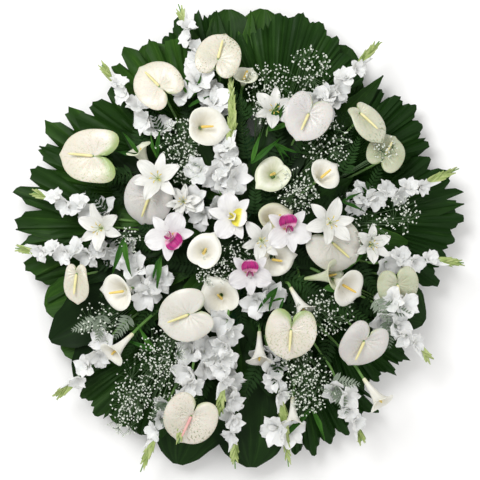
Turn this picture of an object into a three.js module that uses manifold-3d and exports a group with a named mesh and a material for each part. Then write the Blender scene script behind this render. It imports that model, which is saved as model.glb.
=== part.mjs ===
// Funeral wreath: white flowers on a round collar of dark green leaves, made up as florists
// do, with every stem pushed into one disc of floral foam in a plastic tray on two battens.
// The wreath lies on its back. +Z is its front, +Y is its top, and the battens' backs are at
// Z = 0. All sizes are in millimetres and all angles in degrees, anticlockwise from +X.
import * as THREE from 'three';
import { mergeVertices } from 'three/addons/utils/BufferGeometryUtils.js';
import Module from 'manifold-3d';

const wasm = await Module();
wasm.setup();

// ---- Driving dimensions -----------------------------------------------------------------

const GAP = 0.4; // free space left round every stem, screw and wire
const BATTEN = { x: 150, width: 44, length: 660, thickness: 19.7 };
const TRAY = { radius: 262, wall: 3, bottom: 20, floor: 24, rim: 46 };
const FOAM = { radius: 256, bottom: 24.3, shoulder: 74, bend: 200, bendHeight: 96, crown: 114 };
const SCREW = { y: 190, headRadius: 4.5, shankRadius: 2, back: 1, headTop: 4, tip: 34 };
const WIRE = { y: 250, z: 8, radius: 1.5, reach: 178, stopRadius: 3.4, stopLength: 4 };

// The lowest height of each kind of flower at the wreath's edge, and how much more it is in the
// middle.
const DOME_RADIUS = 560;
const DOMES = {
  anthurium: { edge: 140, rise: 70 },
  calla: { edge: 170, rise: 60 },
  star: { edge: 150, rise: 70 },
};

const LEAF_THICKNESS = 2;
const LEAF_ARCH = 14; // how far a leaf arches up between its hub and its tip
const PETAL_THICKNESS = 1.8;
const PETIOLE_RADIUS = 3;
const STALK_RADIUS = 4;
const HUB_RADIUS = 5; // where a blade starts, inside its stalk's reach

const LIFT_STEP = 5; // a plant is raised in these steps until it clears its neighbours
const LIFT_LIMIT = 80; // steps
const ROOT_DEPTH = 60; // height of a stalk's lower end, inside the foam

// Leaves of the collar, each with the place of its hub round the foam, the way that it points
// and how far it reaches. A fan has folds that spread from the hub, each ending in a tooth. A
// leaf with no folds is one broad blade. Leaves that don't touch come first, and lie at the back.
const COLLAR_RADIUS = 275;
const LEAVES = [
  { name: 'fan_leaf_top', at: 97, way: 95, half: 34, reach: 328, folds: 7, tooth: 0.06 },
  { name: 'fan_leaf_right', at: 34, way: 34, half: 42, reach: 290, folds: 8, tooth: 0.07 },
  { name: 'broad_leaf_lower_right', at: -20, way: -30, reach: 246, width: 180 },
  { name: 'fan_leaf_bottom_right', at: -62, way: -70, half: 32, reach: 334, folds: 7, tooth: 0.1 },
  { name: 'broad_leaf_bottom_left', at: 252, way: 257, reach: 328, width: 230 },
  { name: 'broad_leaf_lower_left', at: 221, way: 222, reach: 284, width: 190 },
  { name: 'split_leaf_low_left', at: 190, way: 194, half: 36, reach: 278, folds: 5, tooth: 0.16 },
  { name: 'split_leaf_high_left', at: 156, way: 157, half: 34, reach: 308, folds: 5, tooth: 0.16 },
  { name: 'split_leaf_upper_left', at: 134, way: 134, half: 42, reach: 256, folds: 6, tooth: 0.1 },
  { name: 'fan_leaf_upper_right', at: 72, way: 72, half: 42, reach: 320, folds: 8, tooth: 0.06 },
  { name: 'fan_leaf_far_right', at: 8, way: 2, half: 42, reach: 316, folds: 7, tooth: 0.1 },
  { name: 'fan_leaf_low_right', at: -41, way: -41, half: 42, reach: 258, folds: 7, tooth: 0.08 },
  { name: 'broad_leaf_bottom', at: -84, way: -90, reach: 314, width: 240 },
  { name: 'fan_leaf_lower_left', at: 237, way: 231, half: 34, reach: 328, folds: 6, tooth: 0.1 },
  { name: 'oval_leaf_left', at: 206, way: 211, reach: 276, width: 150 },
  { name: 'split_leaf_left', at: 174, way: 177, half: 32, reach: 332, folds: 5, tooth: 0.18 },
  { name: 'split_leaf_top_left', at: 115, way: 115, half: 30, reach: 306, folds: 5, tooth: 0.1 },
];

// Gladiolus spikes, from the first floret at their base to the last green bud at their tip.
const SPIKE_HEIGHT = 118;
const GLADIOLI = [
  { name: 'gladiolus_top', base: [-10, 195], via: [-88, 390], tip: [-155, 585] },
  { name: 'gladiolus_upper_left', base: [-200, 262], via: [-290, 362], tip: [-347, 432] },
  { name: 'gladiolus_high_left', base: [-337, 55], via: [-440, 88], tip: [-520, 112] },
  { name: 'gladiolus_left', base: [-280, -82], via: [-430, -62], tip: [-565, -32] },
  { name: 'gladiolus_lower_left', base: [-330, -262], via: [-400, -345], tip: [-462, -400] },
  { name: 'gladiolus_bottom_left', base: [-135, -320], via: [-192, -440], tip: [-250, -590] },
  { name: 'gladiolus_bottom', base: [-28, -215], via: [-22, -400], tip: [-12, -582] },
  { name: 'gladiolus_bottom_right', base: [70, -282], via: [105, -430], tip: [122, -577] },
  { name: 'gladiolus_lower_right', base: [245, -370], via: [280, -445], tip: [305, -512] },
  { name: 'gladiolus_low_right', base: [362, -195], via: [425, -255], tip: [475, -307] },
  { name: 'gladiolus_right', base: [362, -62], via: [462, -58], tip: [562, -65] },
  { name: 'gladiolus_high_right', base: [275, 92], via: [420, 118], tip: [550, 172] },
  { name: 'gladiolus_upper_right', base: [195, 317], via: [275, 405], tip: [350, 492] },
];

// Anthuriums: the notch where the stalk joins, the way the tip points, and the tip's reach.
const ANTHURIUMS = [
  { name: 'anthurium_top', x: -54, y: 442, tip: 75, reach: 90, lean: 12, leanTo: 98 },
  { name: 'anthurium_upper_left', x: -200, y: 372, tip: 135, reach: 75, lean: 12, leanTo: 120 },
  { name: 'anthurium_left', x: -355, y: 198, tip: 175, reach: 88, lean: 12, leanTo: 150 },
  { name: 'anthurium_lower_left', x: -130, y: -190, tip: 200, reach: 80, lean: 6, leanTo: 235 },
  { name: 'anthurium_bottom_left', x: -120, y: -442, tip: 245, reach: 85, lean: 14, leanTo: 255 },
  { name: 'anthurium_upper_right', x: 168, y: 298, tip: 245, reach: 88, lean: 10, leanTo: 60 },
  { name: 'anthurium_lower_right', x: 305, y: -262, tip: 245, reach: 80, lean: 25, leanTo: 300 },
  { name: 'anthurium_low', x: 125, y: -232, tip: 265, reach: 75, lean: 8, leanTo: 298 },
];

// Calla lilies: the middle of the mouth, the way its tip points, and how the trumpet leans.
const CALLAS = [
  { name: 'calla_upper', x: -80, y: 272, tip: -5, reach: 92, lean: 14, leanTo: 10 },
  { name: 'calla_right', x: 212, y: 155, tip: 40, reach: 80, lean: 50, leanTo: 40 },
  { name: 'calla_left', x: -305, y: -138, tip: 180, reach: 90, lean: 40, leanTo: 200 },
  { name: 'calla_center', x: -92, y: -40, tip: 60, reach: 85, lean: 10, leanTo: 240 },
  { name: 'calla_lower_left', x: -308, y: -282, tip: 225, reach: 85, lean: 55, leanTo: 225 },
  { name: 'calla_low_right', x: 275, y: -125, tip: -30, reach: 85, lean: 55, leanTo: -30 },
  { name: 'calla_bottom_right', x: 350, y: -412, tip: -45, reach: 85, lean: 65, leanTo: 305 },
];

// Flat-faced blooms: how many petals, how far they reach, and how deep the notches between are.
const STAR_BLOOMS = [
  { name: 'orchid_left', kind: 'orchid', x: -170, y: -2, tip: -45, reach: 62, lean: 8, leanTo: 180 },
  { name: 'orchid_right', kind: 'orchid', x: 125, y: 10, tip: 100, reach: 58, lean: 8, leanTo: 0 },
  { name: 'orchid_low', kind: 'orchid', x: 25, y: -102, tip: 90, reach: 56, lean: 8, leanTo: 280 },
  { name: 'orchid_center', kind: 'orchid', x: -30, y: 55, tip: -10, reach: 60, lean: 4, leanTo: 90 },
  { name: 'lily_left', kind: 'lily', x: -205, y: 148, tip: 15, reach: 66, lean: 15, leanTo: 140 },
  { name: 'lily_right', kind: 'lily', x: 228, y: 38, tip: 75, reach: 66, lean: 15, leanTo: 10 },
];

const COLOURS = {
  timber: 0xb08a5a,
  tray: 0x1f4a2c,
  foam: 0x2f6a3e,
  steel: 0x9a9ca0,
  leaf: 0x24491f,
  splitLeaf: 0x33602a,
  gladiolus: 0xf6f7f0,
  anthurium: 0xf3f1da,
  calla: 0xfbf9ee,
  orchid: 0xffffff,
  lily: 0xf8f9f4,
};

// ---- Basic shapes -----------------------------------------------------------------------

const radians = THREE.MathUtils.degToRad;
const vector = (x, y, z) => new THREE.Vector3(x, y, z);

/** A point at a distance from the middle of the wreath, in a direction and at a height. */
function polar(radius, angle, z) {
  return vector(radius * Math.cos(radians(angle)), radius * Math.sin(radians(angle)), z);
}

/** A closed geometry as a solid that can be joined and cut. */
function solid(geometry) {
  const bare = geometry.clone();
  bare.deleteAttribute('normal');
  bare.deleteAttribute('uv');
  const merged = mergeVertices(bare, 1e-3);
  const vertProperties = new Float32Array(merged.attributes.position.array);
  const triVerts = new Uint32Array(merged.index.array);
  return new wasm.Manifold(new wasm.Mesh({ numProp: 3, vertProperties, triVerts }));
}

/** A solid's own geometry. */
function geometryOf(body) {
  const { vertProperties, triVerts } = body.getMesh();
  const geometry = new THREE.BufferGeometry();
  geometry.setAttribute('position', new THREE.BufferAttribute(vertProperties, 3));
  geometry.setIndex(new THREE.BufferAttribute(triVerts, 1));
  geometry.computeVertexNormals();
  return geometry;
}

/** Several closed geometries joined into one solid. */
function joined(geometries) {
  return geometries.map(solid).reduce((whole, piece) => whole.add(piece));
}

/** A geometry from plain lists of points and triangles. */
function faceted(points, triangles) {
  const geometry = new THREE.BufferGeometry().setFromPoints(points);
  geometry.setIndex(triangles);
  return geometry;
}

/** A solid of revolution about +Z from [radius, height] pairs that start and end on the axis. */
function turned(profile, segments) {
  const points = profile.map(([radius, height]) => new THREE.Vector2(radius, height));
  return new THREE.LatheGeometry(points, segments).rotateX(Math.PI / 2);
}

/** A round rod of even thickness that follows a smooth curve through some points. */
function rod(points, radius, sides = 5, steps = 4) {
  const section = new THREE.Shape();
  for (let side = 0; side < sides; side += 1) {
    const angle = (2 * Math.PI * side) / sides;
    const corner = [radius * Math.cos(angle), radius * Math.sin(angle)];
    if (side === 0) section.moveTo(...corner);
    else section.lineTo(...corner);
  }
  section.closePath();
  const extrudePath = new THREE.CatmullRomCurve3(points);
  return new THREE.ExtrudeGeometry(section, { steps, bevelEnabled: false, extrudePath });
}

/**
 * A closed sheet of even thickness about the surface point(u, v), with u and v from 0 to 1.
 * A round sheet's last column meets its first.
 */
function sheet(point, rows, columns, thickness, round = false) {
  const across = round ? columns : columns + 1;
  const count = (rows + 1) * across;
  const nudge = 1e-3;
  const points = [];
  for (const side of [0.5, -0.5]) {
    for (let index = 0; index < count; index += 1) {
      const u = Math.floor(index / across) / rows;
      const v = (index % across) / columns;
      const alongU = point(Math.min(1, u + nudge), v).sub(point(Math.max(0, u - nudge), v));
      const alongV = point(u, v + nudge).sub(point(u, v - nudge));
      const normal = alongU.cross(alongV).normalize();
      points.push(point(u, v).addScaledVector(normal, side * thickness));
    }
  }
  const triangles = [];
  const at = (row, column) => row * across + (column % across);
  const wall = (from, to) => {
    triangles.push(to, from, from + count, to, from + count, to + count);
  };
  for (let row = 0; row < rows; row += 1) {
    for (let column = 0; column < columns; column += 1) {
      const near = at(row, column);
      const out = at(row + 1, column);
      const far = at(row + 1, column + 1);
      const beside = at(row, column + 1);
      triangles.push(near, out, far, near, far, beside);
      triangles.push(count + near, count + far, count + out);
      triangles.push(count + near, count + beside, count + far);
    }
  }
  for (let column = 0; column < columns; column += 1) {
    wall(at(rows, column), at(rows, column + 1));
    wall(at(0, column + 1), at(0, column));
  }
  for (let row = 0; row < rows && !round; row += 1) {
    wall(at(row, 0), at(row + 1, 0));
    wall(at(row + 1, columns), at(row, columns));
  }
  return faceted(points, triangles);
}

/** The turn that points +Z of a piece along a direction. */
function alongDirection(direction) {
  return new THREE.Quaternion().setFromUnitVectors(vector(0, 0, 1), direction.clone().normalize());
}

/** The matrix that turns a bloom's tip (+X) about its face (+Z), leans the face and places it. */
function bloomPose({ x, y, tip, lean, leanTo }, z) {
  const leanAxis = vector(-Math.sin(radians(leanTo)), Math.cos(radians(leanTo)), 0);
  const turn = new THREE.Quaternion().setFromAxisAngle(vector(0, 0, 1), radians(tip));
  turn.premultiply(new THREE.Quaternion().setFromAxisAngle(leanAxis, radians(lean)));
  return new THREE.Matrix4().compose(vector(x, y, z), turn, vector(1, 1, 1));
}

// ---- Leaves -----------------------------------------------------------------------------

/** A pleated or split leaf: folds spread from the hub, and each one ends in a tooth. */
function fanBlade({ way, half, reach, folds, tooth }) {
  const valleyAt = (v) => Math.abs((((v + 1) * folds) % 1) - 0.5) * 2; // 0 on a ridge
  const point = (u, v) => {
    const valley = valleyAt(v);
    const uneven = 0.94 + 0.06 * Math.sin(9 * v + way);
    const rim = reach * (1 - tooth * valley) * uneven * (0.9 + 0.1 * Math.sin(Math.PI * v));
    const radius = HUB_RADIUS + (rim - HUB_RADIUS) * u;
    const angle = radians(half * (2 * v - 1));
    const z = LEAF_ARCH * Math.sin(2.4 * u) - 0.7 * LEAF_ARCH * u - 5 * valley * u;
    return vector(radius * Math.cos(angle), radius * Math.sin(angle), z);
  };
  return sheet(point, 2, 2 * folds, LEAF_THICKNESS);
}

/** A broad leaf with a folded midrib. */
function broadBlade({ reach, width }) {
  const point = (u, v) => {
    const side = 2 * v - 1;
    const swell = Math.sin(Math.PI * (0.05 + 0.9 * u ** 0.85));
    const halfWidth = HUB_RADIUS + (width / 2 - HUB_RADIUS) * swell;
    const z = LEAF_ARCH * Math.sin(2.4 * u) - 0.7 * LEAF_ARCH * u + 0.08 * halfWidth * Math.abs(side);
    return vector(reach * u, halfWidth * side, z);
  };
  return sheet(point, 5, 4, LEAF_THICKNESS);
}

/** A leaf's blade in place, with its hub at a height. */
function leafBlade(leaf, z) {
  const blade = leaf.folds ? fanBlade(leaf) : broadBlade(leaf);
  const hub = polar(COLLAR_RADIUS, leaf.at, z);
  return blade.rotateZ(radians(leaf.way)).translate(...hub);
}

/** The ways that a leaf's petiole can take from its hub into the side of the foam. */
function petioleRoutes(leaf, z) {
  const hub = polar(COLLAR_RADIUS, leaf.at, z);
  const inBlade = hub.clone().add(polar(4 * HUB_RADIUS, leaf.way, 5));
  const routes = [];
  for (const turn of [0, 3, -3, 6, -6, 9, -9]) {
    for (const depth of [ROOT_DEPTH, ROOT_DEPTH + 8]) {
      const root = polar(FOAM.radius - 30, leaf.at + turn, depth);
      const over = polar(FOAM.radius + 10, leaf.at + turn, Math.max(depth + 6, z - 6));
      routes.push([inBlade, hub, root], [inBlade, hub, over, root]);
    }
  }
  return routes;
}

// ---- Flowers ----------------------------------------------------------------------------

/** A spadix: a tapered finger along +Z from the origin. */
function spadix(length, radius) {
  return turned([[0, 0], [radius, 0], [0.7 * radius, 0.93 * length], [0, length]], 5);
}

/** An anthurium: a heart-shaped spathe about the notch at the origin, and its spadix. */
function anthuriumHead({ reach }) {
  const open = 173; // the spathe's two lobes meet at the notch behind this angle
  const point = (u, v) => {
    const angle = open * (2 * v - 1);
    const towardsTip = ((1 + Math.cos(radians(angle))) / 2) ** 4;
    const lobe = Math.exp(-(((Math.abs(angle) - 148) / 28) ** 2));
    const notch = THREE.MathUtils.smoothstep(180 - Math.abs(angle), 0, 22);
    const rim = reach * (0.74 + 0.26 * towardsTip + 0.17 * lobe) * (0.25 + 0.75 * notch);
    const radius = HUB_RADIUS - 2 + (rim - HUB_RADIUS + 2) * u;
    const z = 0.1 * reach * Math.sin(2.2 * u) * (1 - 0.6 * towardsTip);
    return vector(radius * Math.cos(radians(angle)), radius * Math.sin(radians(angle)), z);
  };
  const finger = spadix(0.66 * reach, 4.6).rotateY(radians(62)).translate(-2, 0, -1);
  return [sheet(point, 2, 14, PETAL_THICKNESS), finger];
}

/** A calla lily: a trumpet with its mouth at the origin, facing +Z, and its tip towards +X. */
function callaHead({ reach }) {
  const depth = 0.95 * reach;
  const point = (u, v) => {
    const angle = 2 * Math.PI * v;
    const towardsTip = ((1 + Math.cos(angle)) / 2) ** 3;
    const mouth = reach * (0.4 + 0.22 * towardsTip);
    const radius = HUB_RADIUS - 1.4 + (mouth - HUB_RADIUS + 1.4) * (0.55 * u + 0.45 * u ** 4);
    const z = depth * (u - 1) - 0.2 * reach * towardsTip * u ** 5 + 0.08 * reach * u * Math.cos(angle);
    return vector(radius * Math.cos(angle), radius * Math.sin(angle), z);
  };
  const finger = spadix(0.72 * reach, 4.2).translate(0, 0, -depth - 3);
  return [sheet(point, 3, 10, PETAL_THICKNESS, true), finger];
}

/** A flat bloom of rounded or pointed petals about the origin, facing +Z, one petal along +X. */
function starHead({ kind, reach }) {
  const petals = kind === 'orchid' ? 5 : 6;
  const waist = kind === 'orchid' ? 0.42 : 0.3;
  const columns = kind === 'orchid' ? 3 * petals : 2 * petals;
  const point = (u, v) => {
    const petal = Math.abs(Math.cos((petals * 2 * Math.PI * v) / 2)) ** 0.7;
    const rim = reach * (waist + (1 - waist) * petal);
    const radius = HUB_RADIUS - 2 + (rim - HUB_RADIUS + 2) * u;
    const z = 0.32 * reach * Math.sin(2.2 * u) - 0.28 * reach * u * petal;
    return vector(radius * Math.cos(2 * Math.PI * v), radius * Math.sin(2 * Math.PI * v), z);
  };
  const lip = new THREE.OctahedronGeometry(1).scale(0.2 * reach, 0.16 * reach, 0.16 * reach);
  const middle = kind === 'orchid' ? lip.translate(0.1 * reach, 0, 0.08 * reach) : spadix(0.4 * reach, 4);
  return [sheet(point, 2, columns, PETAL_THICKNESS, true), middle.translate(0, 0, -2)];
}

/** A bloom's pieces in place, with the point and direction at which its stalk begins. */
function bloomInPlace(makeHead, bloom, z, behind) {
  const pose = bloomPose(bloom, z);
  const pieces = makeHead(bloom).map((piece) => piece.applyMatrix4(pose));
  const neck = vector(0, 0, -behind).applyMatrix4(pose);
  const inward = vector(0, 0, -1).transformDirection(pose);
  return { pieces, neck, inward };
}

/** A funnel-shaped floret from its point on the stalk, with a petal tip at each corner. */
function floret(foot, direction, length, radius) {
  const rimPoints = 6;
  const points = [vector(0, 0, 0)];
  for (let index = 0; index < rimPoints; index += 1) {
    const angle = (2 * Math.PI * index) / rimPoints;
    points.push(vector(radius * Math.cos(angle), radius * Math.sin(angle), length));
  }
  points.push(vector(0, 0, 0.55 * length));
  const triangles = [];
  for (let index = 0; index < rimPoints; index += 1) {
    const here = 1 + index;
    const next = 1 + ((index + 1) % rimPoints);
    triangles.push(0, next, here, rimPoints + 1, here, next);
  }
  const turn = new THREE.Matrix4().compose(foot, alongDirection(direction), vector(1, 1, 1));
  return faceted(points, triangles).applyMatrix4(turn);
}

/** A closed bud from its point on the stalk. */
function bud(foot, direction, length) {
  const shape = new THREE.OctahedronGeometry(1).scale(0.28 * length, 0.28 * length, 0.5 * length);
  const turn = alongDirection(direction);
  return shape.translate(0, 0, 0.42 * length).applyQuaternion(turn).translate(...foot);
}

/** The line of a gladiolus spike, with its base at a height. */
function spikeLine({ base, via, tip }, z) {
  return new THREE.CatmullRomCurve3([vector(...base, z), vector(...via, z + 6), vector(...tip, z - 4)]);
}

/** A gladiolus spike: florets in two ranks along the stalk, and green buds beyond them. */
function gladiolusHead(spike, z) {
  const line = spikeLine(spike, z);
  const length = line.getLength();
  const florets = Math.max(3, Math.round(length / 50));
  const buds = 3;
  const pieces = [rod(line.getSpacedPoints(3), STALK_RADIUS - 0.8, 4)];
  const ranked = (index, share, up) => {
    const foot = line.getPointAt(share);
    const tangent = line.getTangentAt(share);
    const side = vector(-tangent.y, tangent.x, 0).multiplyScalar(index % 2 === 0 ? 0.9 : -0.9);
    return { foot, direction: tangent.multiplyScalar(0.75).add(side).add(vector(0, 0, up)) };
  };
  for (let index = 0; index < florets; index += 1) {
    const { foot, direction } = ranked(index, 0.03 + (0.6 * index) / florets, 0.95);
    pieces.push(floret(foot, direction, 44 - 2 * index, 33 - 1.5 * index));
  }
  for (let index = 0; index < buds; index += 1) {
    const { foot, direction } = ranked(index, 0.66 + (0.28 * index) / buds, 0.2);
    pieces.push(bud(foot, direction, 30 - 4 * index));
  }
  return { pieces, neck: line.getPointAt(0.02), inward: line.getTangentAt(0).negate() };
}

/** The ways that a flower's stalk can take from its neck down into the foam. */
function stalkRoutes({ neck, inward }) {
  const distance = Math.hypot(neck.x, neck.y);
  const angle = THREE.MathUtils.radToDeg(Math.atan2(neck.y, neck.x));
  const routes = [];
  for (const share of [0.62, 0.5, 0.74, 0.38, 0.86]) {
    for (const turn of [0, 5, -5, 10, -10, 16, -16, 24, -24]) {
      const radius = Math.min(share * distance, FOAM.radius - 36);
      const root = polar(radius, angle + turn, ROOT_DEPTH);
      const entry = polar(radius + 10, angle + turn, ROOT_DEPTH + 30);
      const drop = neck.distanceTo(entry);
      const start = neck.clone().addScaledVector(inward, -4);
      const bend = neck.clone().addScaledVector(inward, 0.3 * drop);
      routes.push([start, bend, entry, root]);
    }
  }
  return routes;
}

// ---- The holder -------------------------------------------------------------------------

/** A screw's solid at a corner of the holder, made fatter by some margin. */
function screwAt(x, y, margin) {
  const head = SCREW.headRadius + margin;
  const shank = SCREW.shankRadius + margin;
  const back = SCREW.back - margin;
  const countersink = [[0, back], [head, back], [shank, SCREW.headTop + margin]];
  const point = [[shank, SCREW.tip - 4], [0, SCREW.tip + 2 * margin]];
  return turned([...countersink, ...point], 8).translate(x, y, 0);
}

/** The hanging wire, with a bead at each end, made fatter by some margin. */
function wireShape(margin) {
  const { reach, stopLength } = WIRE;
  const bead = WIRE.stopRadius + margin;
  const wire = WIRE.radius + margin;
  const half = [[wire, reach], [bead, reach], [bead, reach + stopLength]];
  const mirrored = half.map(([radius, height]) => [radius, -height]).reverse();
  const profile = [[0, -reach - stopLength], ...mirrored, ...half, [0, reach + stopLength]];
  return turned(profile, 8).rotateY(Math.PI / 2).translate(0, WIRE.y, WIRE.z);
}

/** The drill that makes way for the hanging wire. */
function wireDrill() {
  const radius = WIRE.radius + GAP;
  const profile = [[0, -2 * WIRE.reach], [radius, -2 * WIRE.reach], [radius, 2 * WIRE.reach]];
  const drill = turned([...profile, [0, 2 * WIRE.reach]], 8);
  return drill.rotateY(Math.PI / 2).translate(0, WIRE.y, WIRE.z);
}

const screwPlaces = {
  upper_left: [-BATTEN.x, SCREW.y],
  upper_right: [BATTEN.x, SCREW.y],
  lower_left: [-BATTEN.x, -SCREW.y],
  lower_right: [BATTEN.x, -SCREW.y],
};
const screwWays = Object.values(screwPlaces).map(([x, y]) => solid(screwAt(x, y, GAP)));

/** A solid with a way through it for each of some others. */
function cutBy(body, ways) {
  return ways.reduce((rest, way) => rest.subtract(way), body);
}

/** One batten with the holes for its wire and screws. */
function batten(x) {
  const timber = new THREE.BoxGeometry(BATTEN.width, BATTEN.length, BATTEN.thickness);
  timber.translate(x, 0, BATTEN.thickness / 2);
  return cutBy(solid(timber), [solid(wireDrill()), ...screwWays]);
}

/** The round tray that holds the foam. */
function tray() {
  const { radius, wall, bottom, floor, rim } = TRAY;
  const outside = [[0, bottom], [radius, bottom], [radius, rim]];
  const inside = [[radius - wall, rim], [radius - wall, floor], [0, floor]];
  return cutBy(solid(turned([...outside, ...inside], 32)), screwWays);
}

/** The foam before the stems go in. */
function foamBlock() {
  const { radius, bottom, shoulder, bend, bendHeight, crown } = FOAM;
  const side = [[0, bottom], [radius, bottom], [radius, shoulder]];
  return solid(turned([...side, [bend, bendHeight], [bend / 2, crown - 4], [0, crown]], 30));
}

// ---- Making up --------------------------------------------------------------------------

const uncutFoam = foamBlock();
const trayBody = tray();
const placed = []; // { name, body, box } of every plant so far
const stemWays = []; // the holes that the stems need in the foam

/** A solid's box. */
function boxOf(body) {
  const { min, max } = body.boundingBox();
  return new THREE.Box3(vector(...min), vector(...max));
}

/** Whether a solid runs into any of some others. */
function clashes(body, others) {
  const box = boxOf(body);
  return others.some((other) => box.intersectsBox(other.box) && !body.intersect(other.body).isEmpty());
}

const holder = [uncutFoam, trayBody].map((body) => ({ body, box: boxOf(body) }));

/**
 * Adds one plant: raises it from a first height until its head is clear of all that is in
 * place, then takes the first clear way for its stem into the foam.
 */
function plant(name, firstHeight, headAt, routesFor, stemRadius) {
  for (let lift = 0; lift < LIFT_LIMIT; lift += 1) {
    const z = firstHeight + lift * LIFT_STEP;
    const head = headAt(z);
    const body = joined(head.pieces);
    const below = joined(head.pieces.map((piece) => piece.clone().translate(0, 0, -1)));
    if (clashes(body, [...holder, ...placed]) || clashes(below, [...holder, ...placed])) continue;
    for (const route of routesFor(head, z)) {
      const way = solid(rod(route, stemRadius + GAP));
      if (clashes(way, [holder[1], ...placed])) continue;
      const whole = body.add(solid(rod(route, stemRadius)));
      placed.push({ name, body: whole, box: boxOf(whole) });
      stemWays.push(way);
      return whole;
    }
  }
  throw new Error(`${name} has no clear place`);
}

/** The height at which a flower begins: higher towards the middle of the wreath. */
function domeHeight({ x, y }, { edge, rise }) {
  return edge + rise * (1 - Math.min(1, Math.hypot(x, y) / DOME_RADIUS) ** 2);
}

const wreath = new THREE.Group();

/** Adds one named sub-part to the wreath. */
function addPart(name, body, color, roughness = 0.6, metalness = 0) {
  const material = new THREE.MeshStandardMaterial({ color, roughness, metalness });
  const mesh = new THREE.Mesh(geometryOf(body), material);
  mesh.name = name;
  wreath.add(mesh);
}

for (const leaf of LEAVES) {
  const headAt = (z) => ({ pieces: [leafBlade(leaf, z)] });
  const body = plant(leaf.name, 58, headAt, (head, z) => petioleRoutes(leaf, z), PETIOLE_RADIUS);
  addPart(leaf.name, body, leaf.name.startsWith('split') ? COLOURS.splitLeaf : COLOURS.leaf);
}

for (const spike of GLADIOLI) {
  const headAt = (z) => gladiolusHead(spike, z);
  const body = plant(spike.name, SPIKE_HEIGHT, headAt, stalkRoutes, STALK_RADIUS);
  addPart(spike.name, body, COLOURS.gladiolus);
}

for (const bloom of ANTHURIUMS) {
  const headAt = (z) => bloomInPlace(anthuriumHead, bloom, z, 0);
  const height = domeHeight(bloom, DOMES.anthurium);
  const body = plant(bloom.name, height, headAt, stalkRoutes, STALK_RADIUS);
  addPart(bloom.name, body, COLOURS.anthurium, 0.3);
}

for (const bloom of CALLAS) {
  const headAt = (z) => bloomInPlace(callaHead, bloom, z, 0.95 * bloom.reach);
  const height = domeHeight(bloom, DOMES.calla);
  const body = plant(bloom.name, height, headAt, stalkRoutes, STALK_RADIUS);
  addPart(bloom.name, body, COLOURS.calla, 0.4);
}

for (const bloom of STAR_BLOOMS) {
  const headAt = (z) => bloomInPlace(starHead, bloom, z, 0);
  const height = domeHeight(bloom, DOMES.star);
  const body = plant(bloom.name, height, headAt, stalkRoutes, STALK_RADIUS - 0.6);
  addPart(bloom.name, body, COLOURS[bloom.kind]);
}

addPart('batten_left', batten(-BATTEN.x), COLOURS.timber, 0.8);
addPart('batten_right', batten(BATTEN.x), COLOURS.timber, 0.8);
addPart('foam_tray', trayBody, COLOURS.tray, 0.4);
addPart('foam_disc', cutBy(uncutFoam, [...screwWays, ...stemWays]), COLOURS.foam, 0.95);
addPart('hanging_wire', solid(wireShape(0)), COLOURS.steel, 0.35, 1);
for (const [corner, [x, y]] of Object.entries(screwPlaces)) {
  addPart(`screw_${corner}`, solid(screwAt(x, y, 0)), COLOURS.steel, 0.35, 1);
}

// The origin is under the middle of the whole wreath, on the plane of the battens' backs.
const middle = new THREE.Box3().setFromObject(wreath).getCenter(vector(0, 0, 0));
wreath.position.set(-middle.x, -middle.y, 0);

export default wreath;
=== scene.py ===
"""The dressed funeral wreath.

The wreath rests face up on the backs of its two battens. A collar of pleated palm leaves and
broad leaves stands out round a disc of floral foam, and white gladioli, anthuriums, calla
lilies, orchids, lilies and gypsophila cover it. Each plant is built round the solid that it
stands for, in metres, in the frame's own place. Sizes in the classes below are millimetres.
"""
import sys
import logging
import math
import random
from collections.abc import Callable, Iterable, Sequence
from dataclasses import dataclass, field, replace
from enum import Enum
from functools import cache

import bpy
import numpy as np
from mathutils import Matrix, Vector


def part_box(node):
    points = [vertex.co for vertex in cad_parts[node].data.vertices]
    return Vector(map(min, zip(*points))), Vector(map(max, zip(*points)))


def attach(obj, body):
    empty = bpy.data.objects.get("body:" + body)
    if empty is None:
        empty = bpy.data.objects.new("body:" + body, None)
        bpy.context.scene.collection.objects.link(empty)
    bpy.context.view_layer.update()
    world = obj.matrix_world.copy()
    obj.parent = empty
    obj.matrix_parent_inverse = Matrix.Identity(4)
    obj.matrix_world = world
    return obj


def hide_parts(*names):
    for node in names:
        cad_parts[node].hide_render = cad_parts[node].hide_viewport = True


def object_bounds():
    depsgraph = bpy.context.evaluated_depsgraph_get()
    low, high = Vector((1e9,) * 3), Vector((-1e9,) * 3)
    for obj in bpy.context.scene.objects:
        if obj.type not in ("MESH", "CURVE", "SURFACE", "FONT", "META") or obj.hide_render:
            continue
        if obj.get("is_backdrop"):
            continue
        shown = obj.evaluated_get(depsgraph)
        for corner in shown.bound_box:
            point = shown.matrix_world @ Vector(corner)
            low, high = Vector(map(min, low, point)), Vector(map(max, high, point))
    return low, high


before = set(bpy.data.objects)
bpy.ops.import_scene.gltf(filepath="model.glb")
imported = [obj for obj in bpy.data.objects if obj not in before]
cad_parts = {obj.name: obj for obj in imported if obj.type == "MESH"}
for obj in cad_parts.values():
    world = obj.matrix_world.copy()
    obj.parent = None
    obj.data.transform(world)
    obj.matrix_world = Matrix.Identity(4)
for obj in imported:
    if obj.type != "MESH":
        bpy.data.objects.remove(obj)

CAD_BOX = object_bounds()
MM = 0.001
SMOOTH_ANGLE = math.radians(42)
ASIDE = (0.21, 0.35, 0.91)
log = logging.getLogger("wreath")

Array = np.ndarray
Colour = tuple[float, float, float]
Shape = Callable[[Array, Array], Array]
Jitter = random.Random


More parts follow.
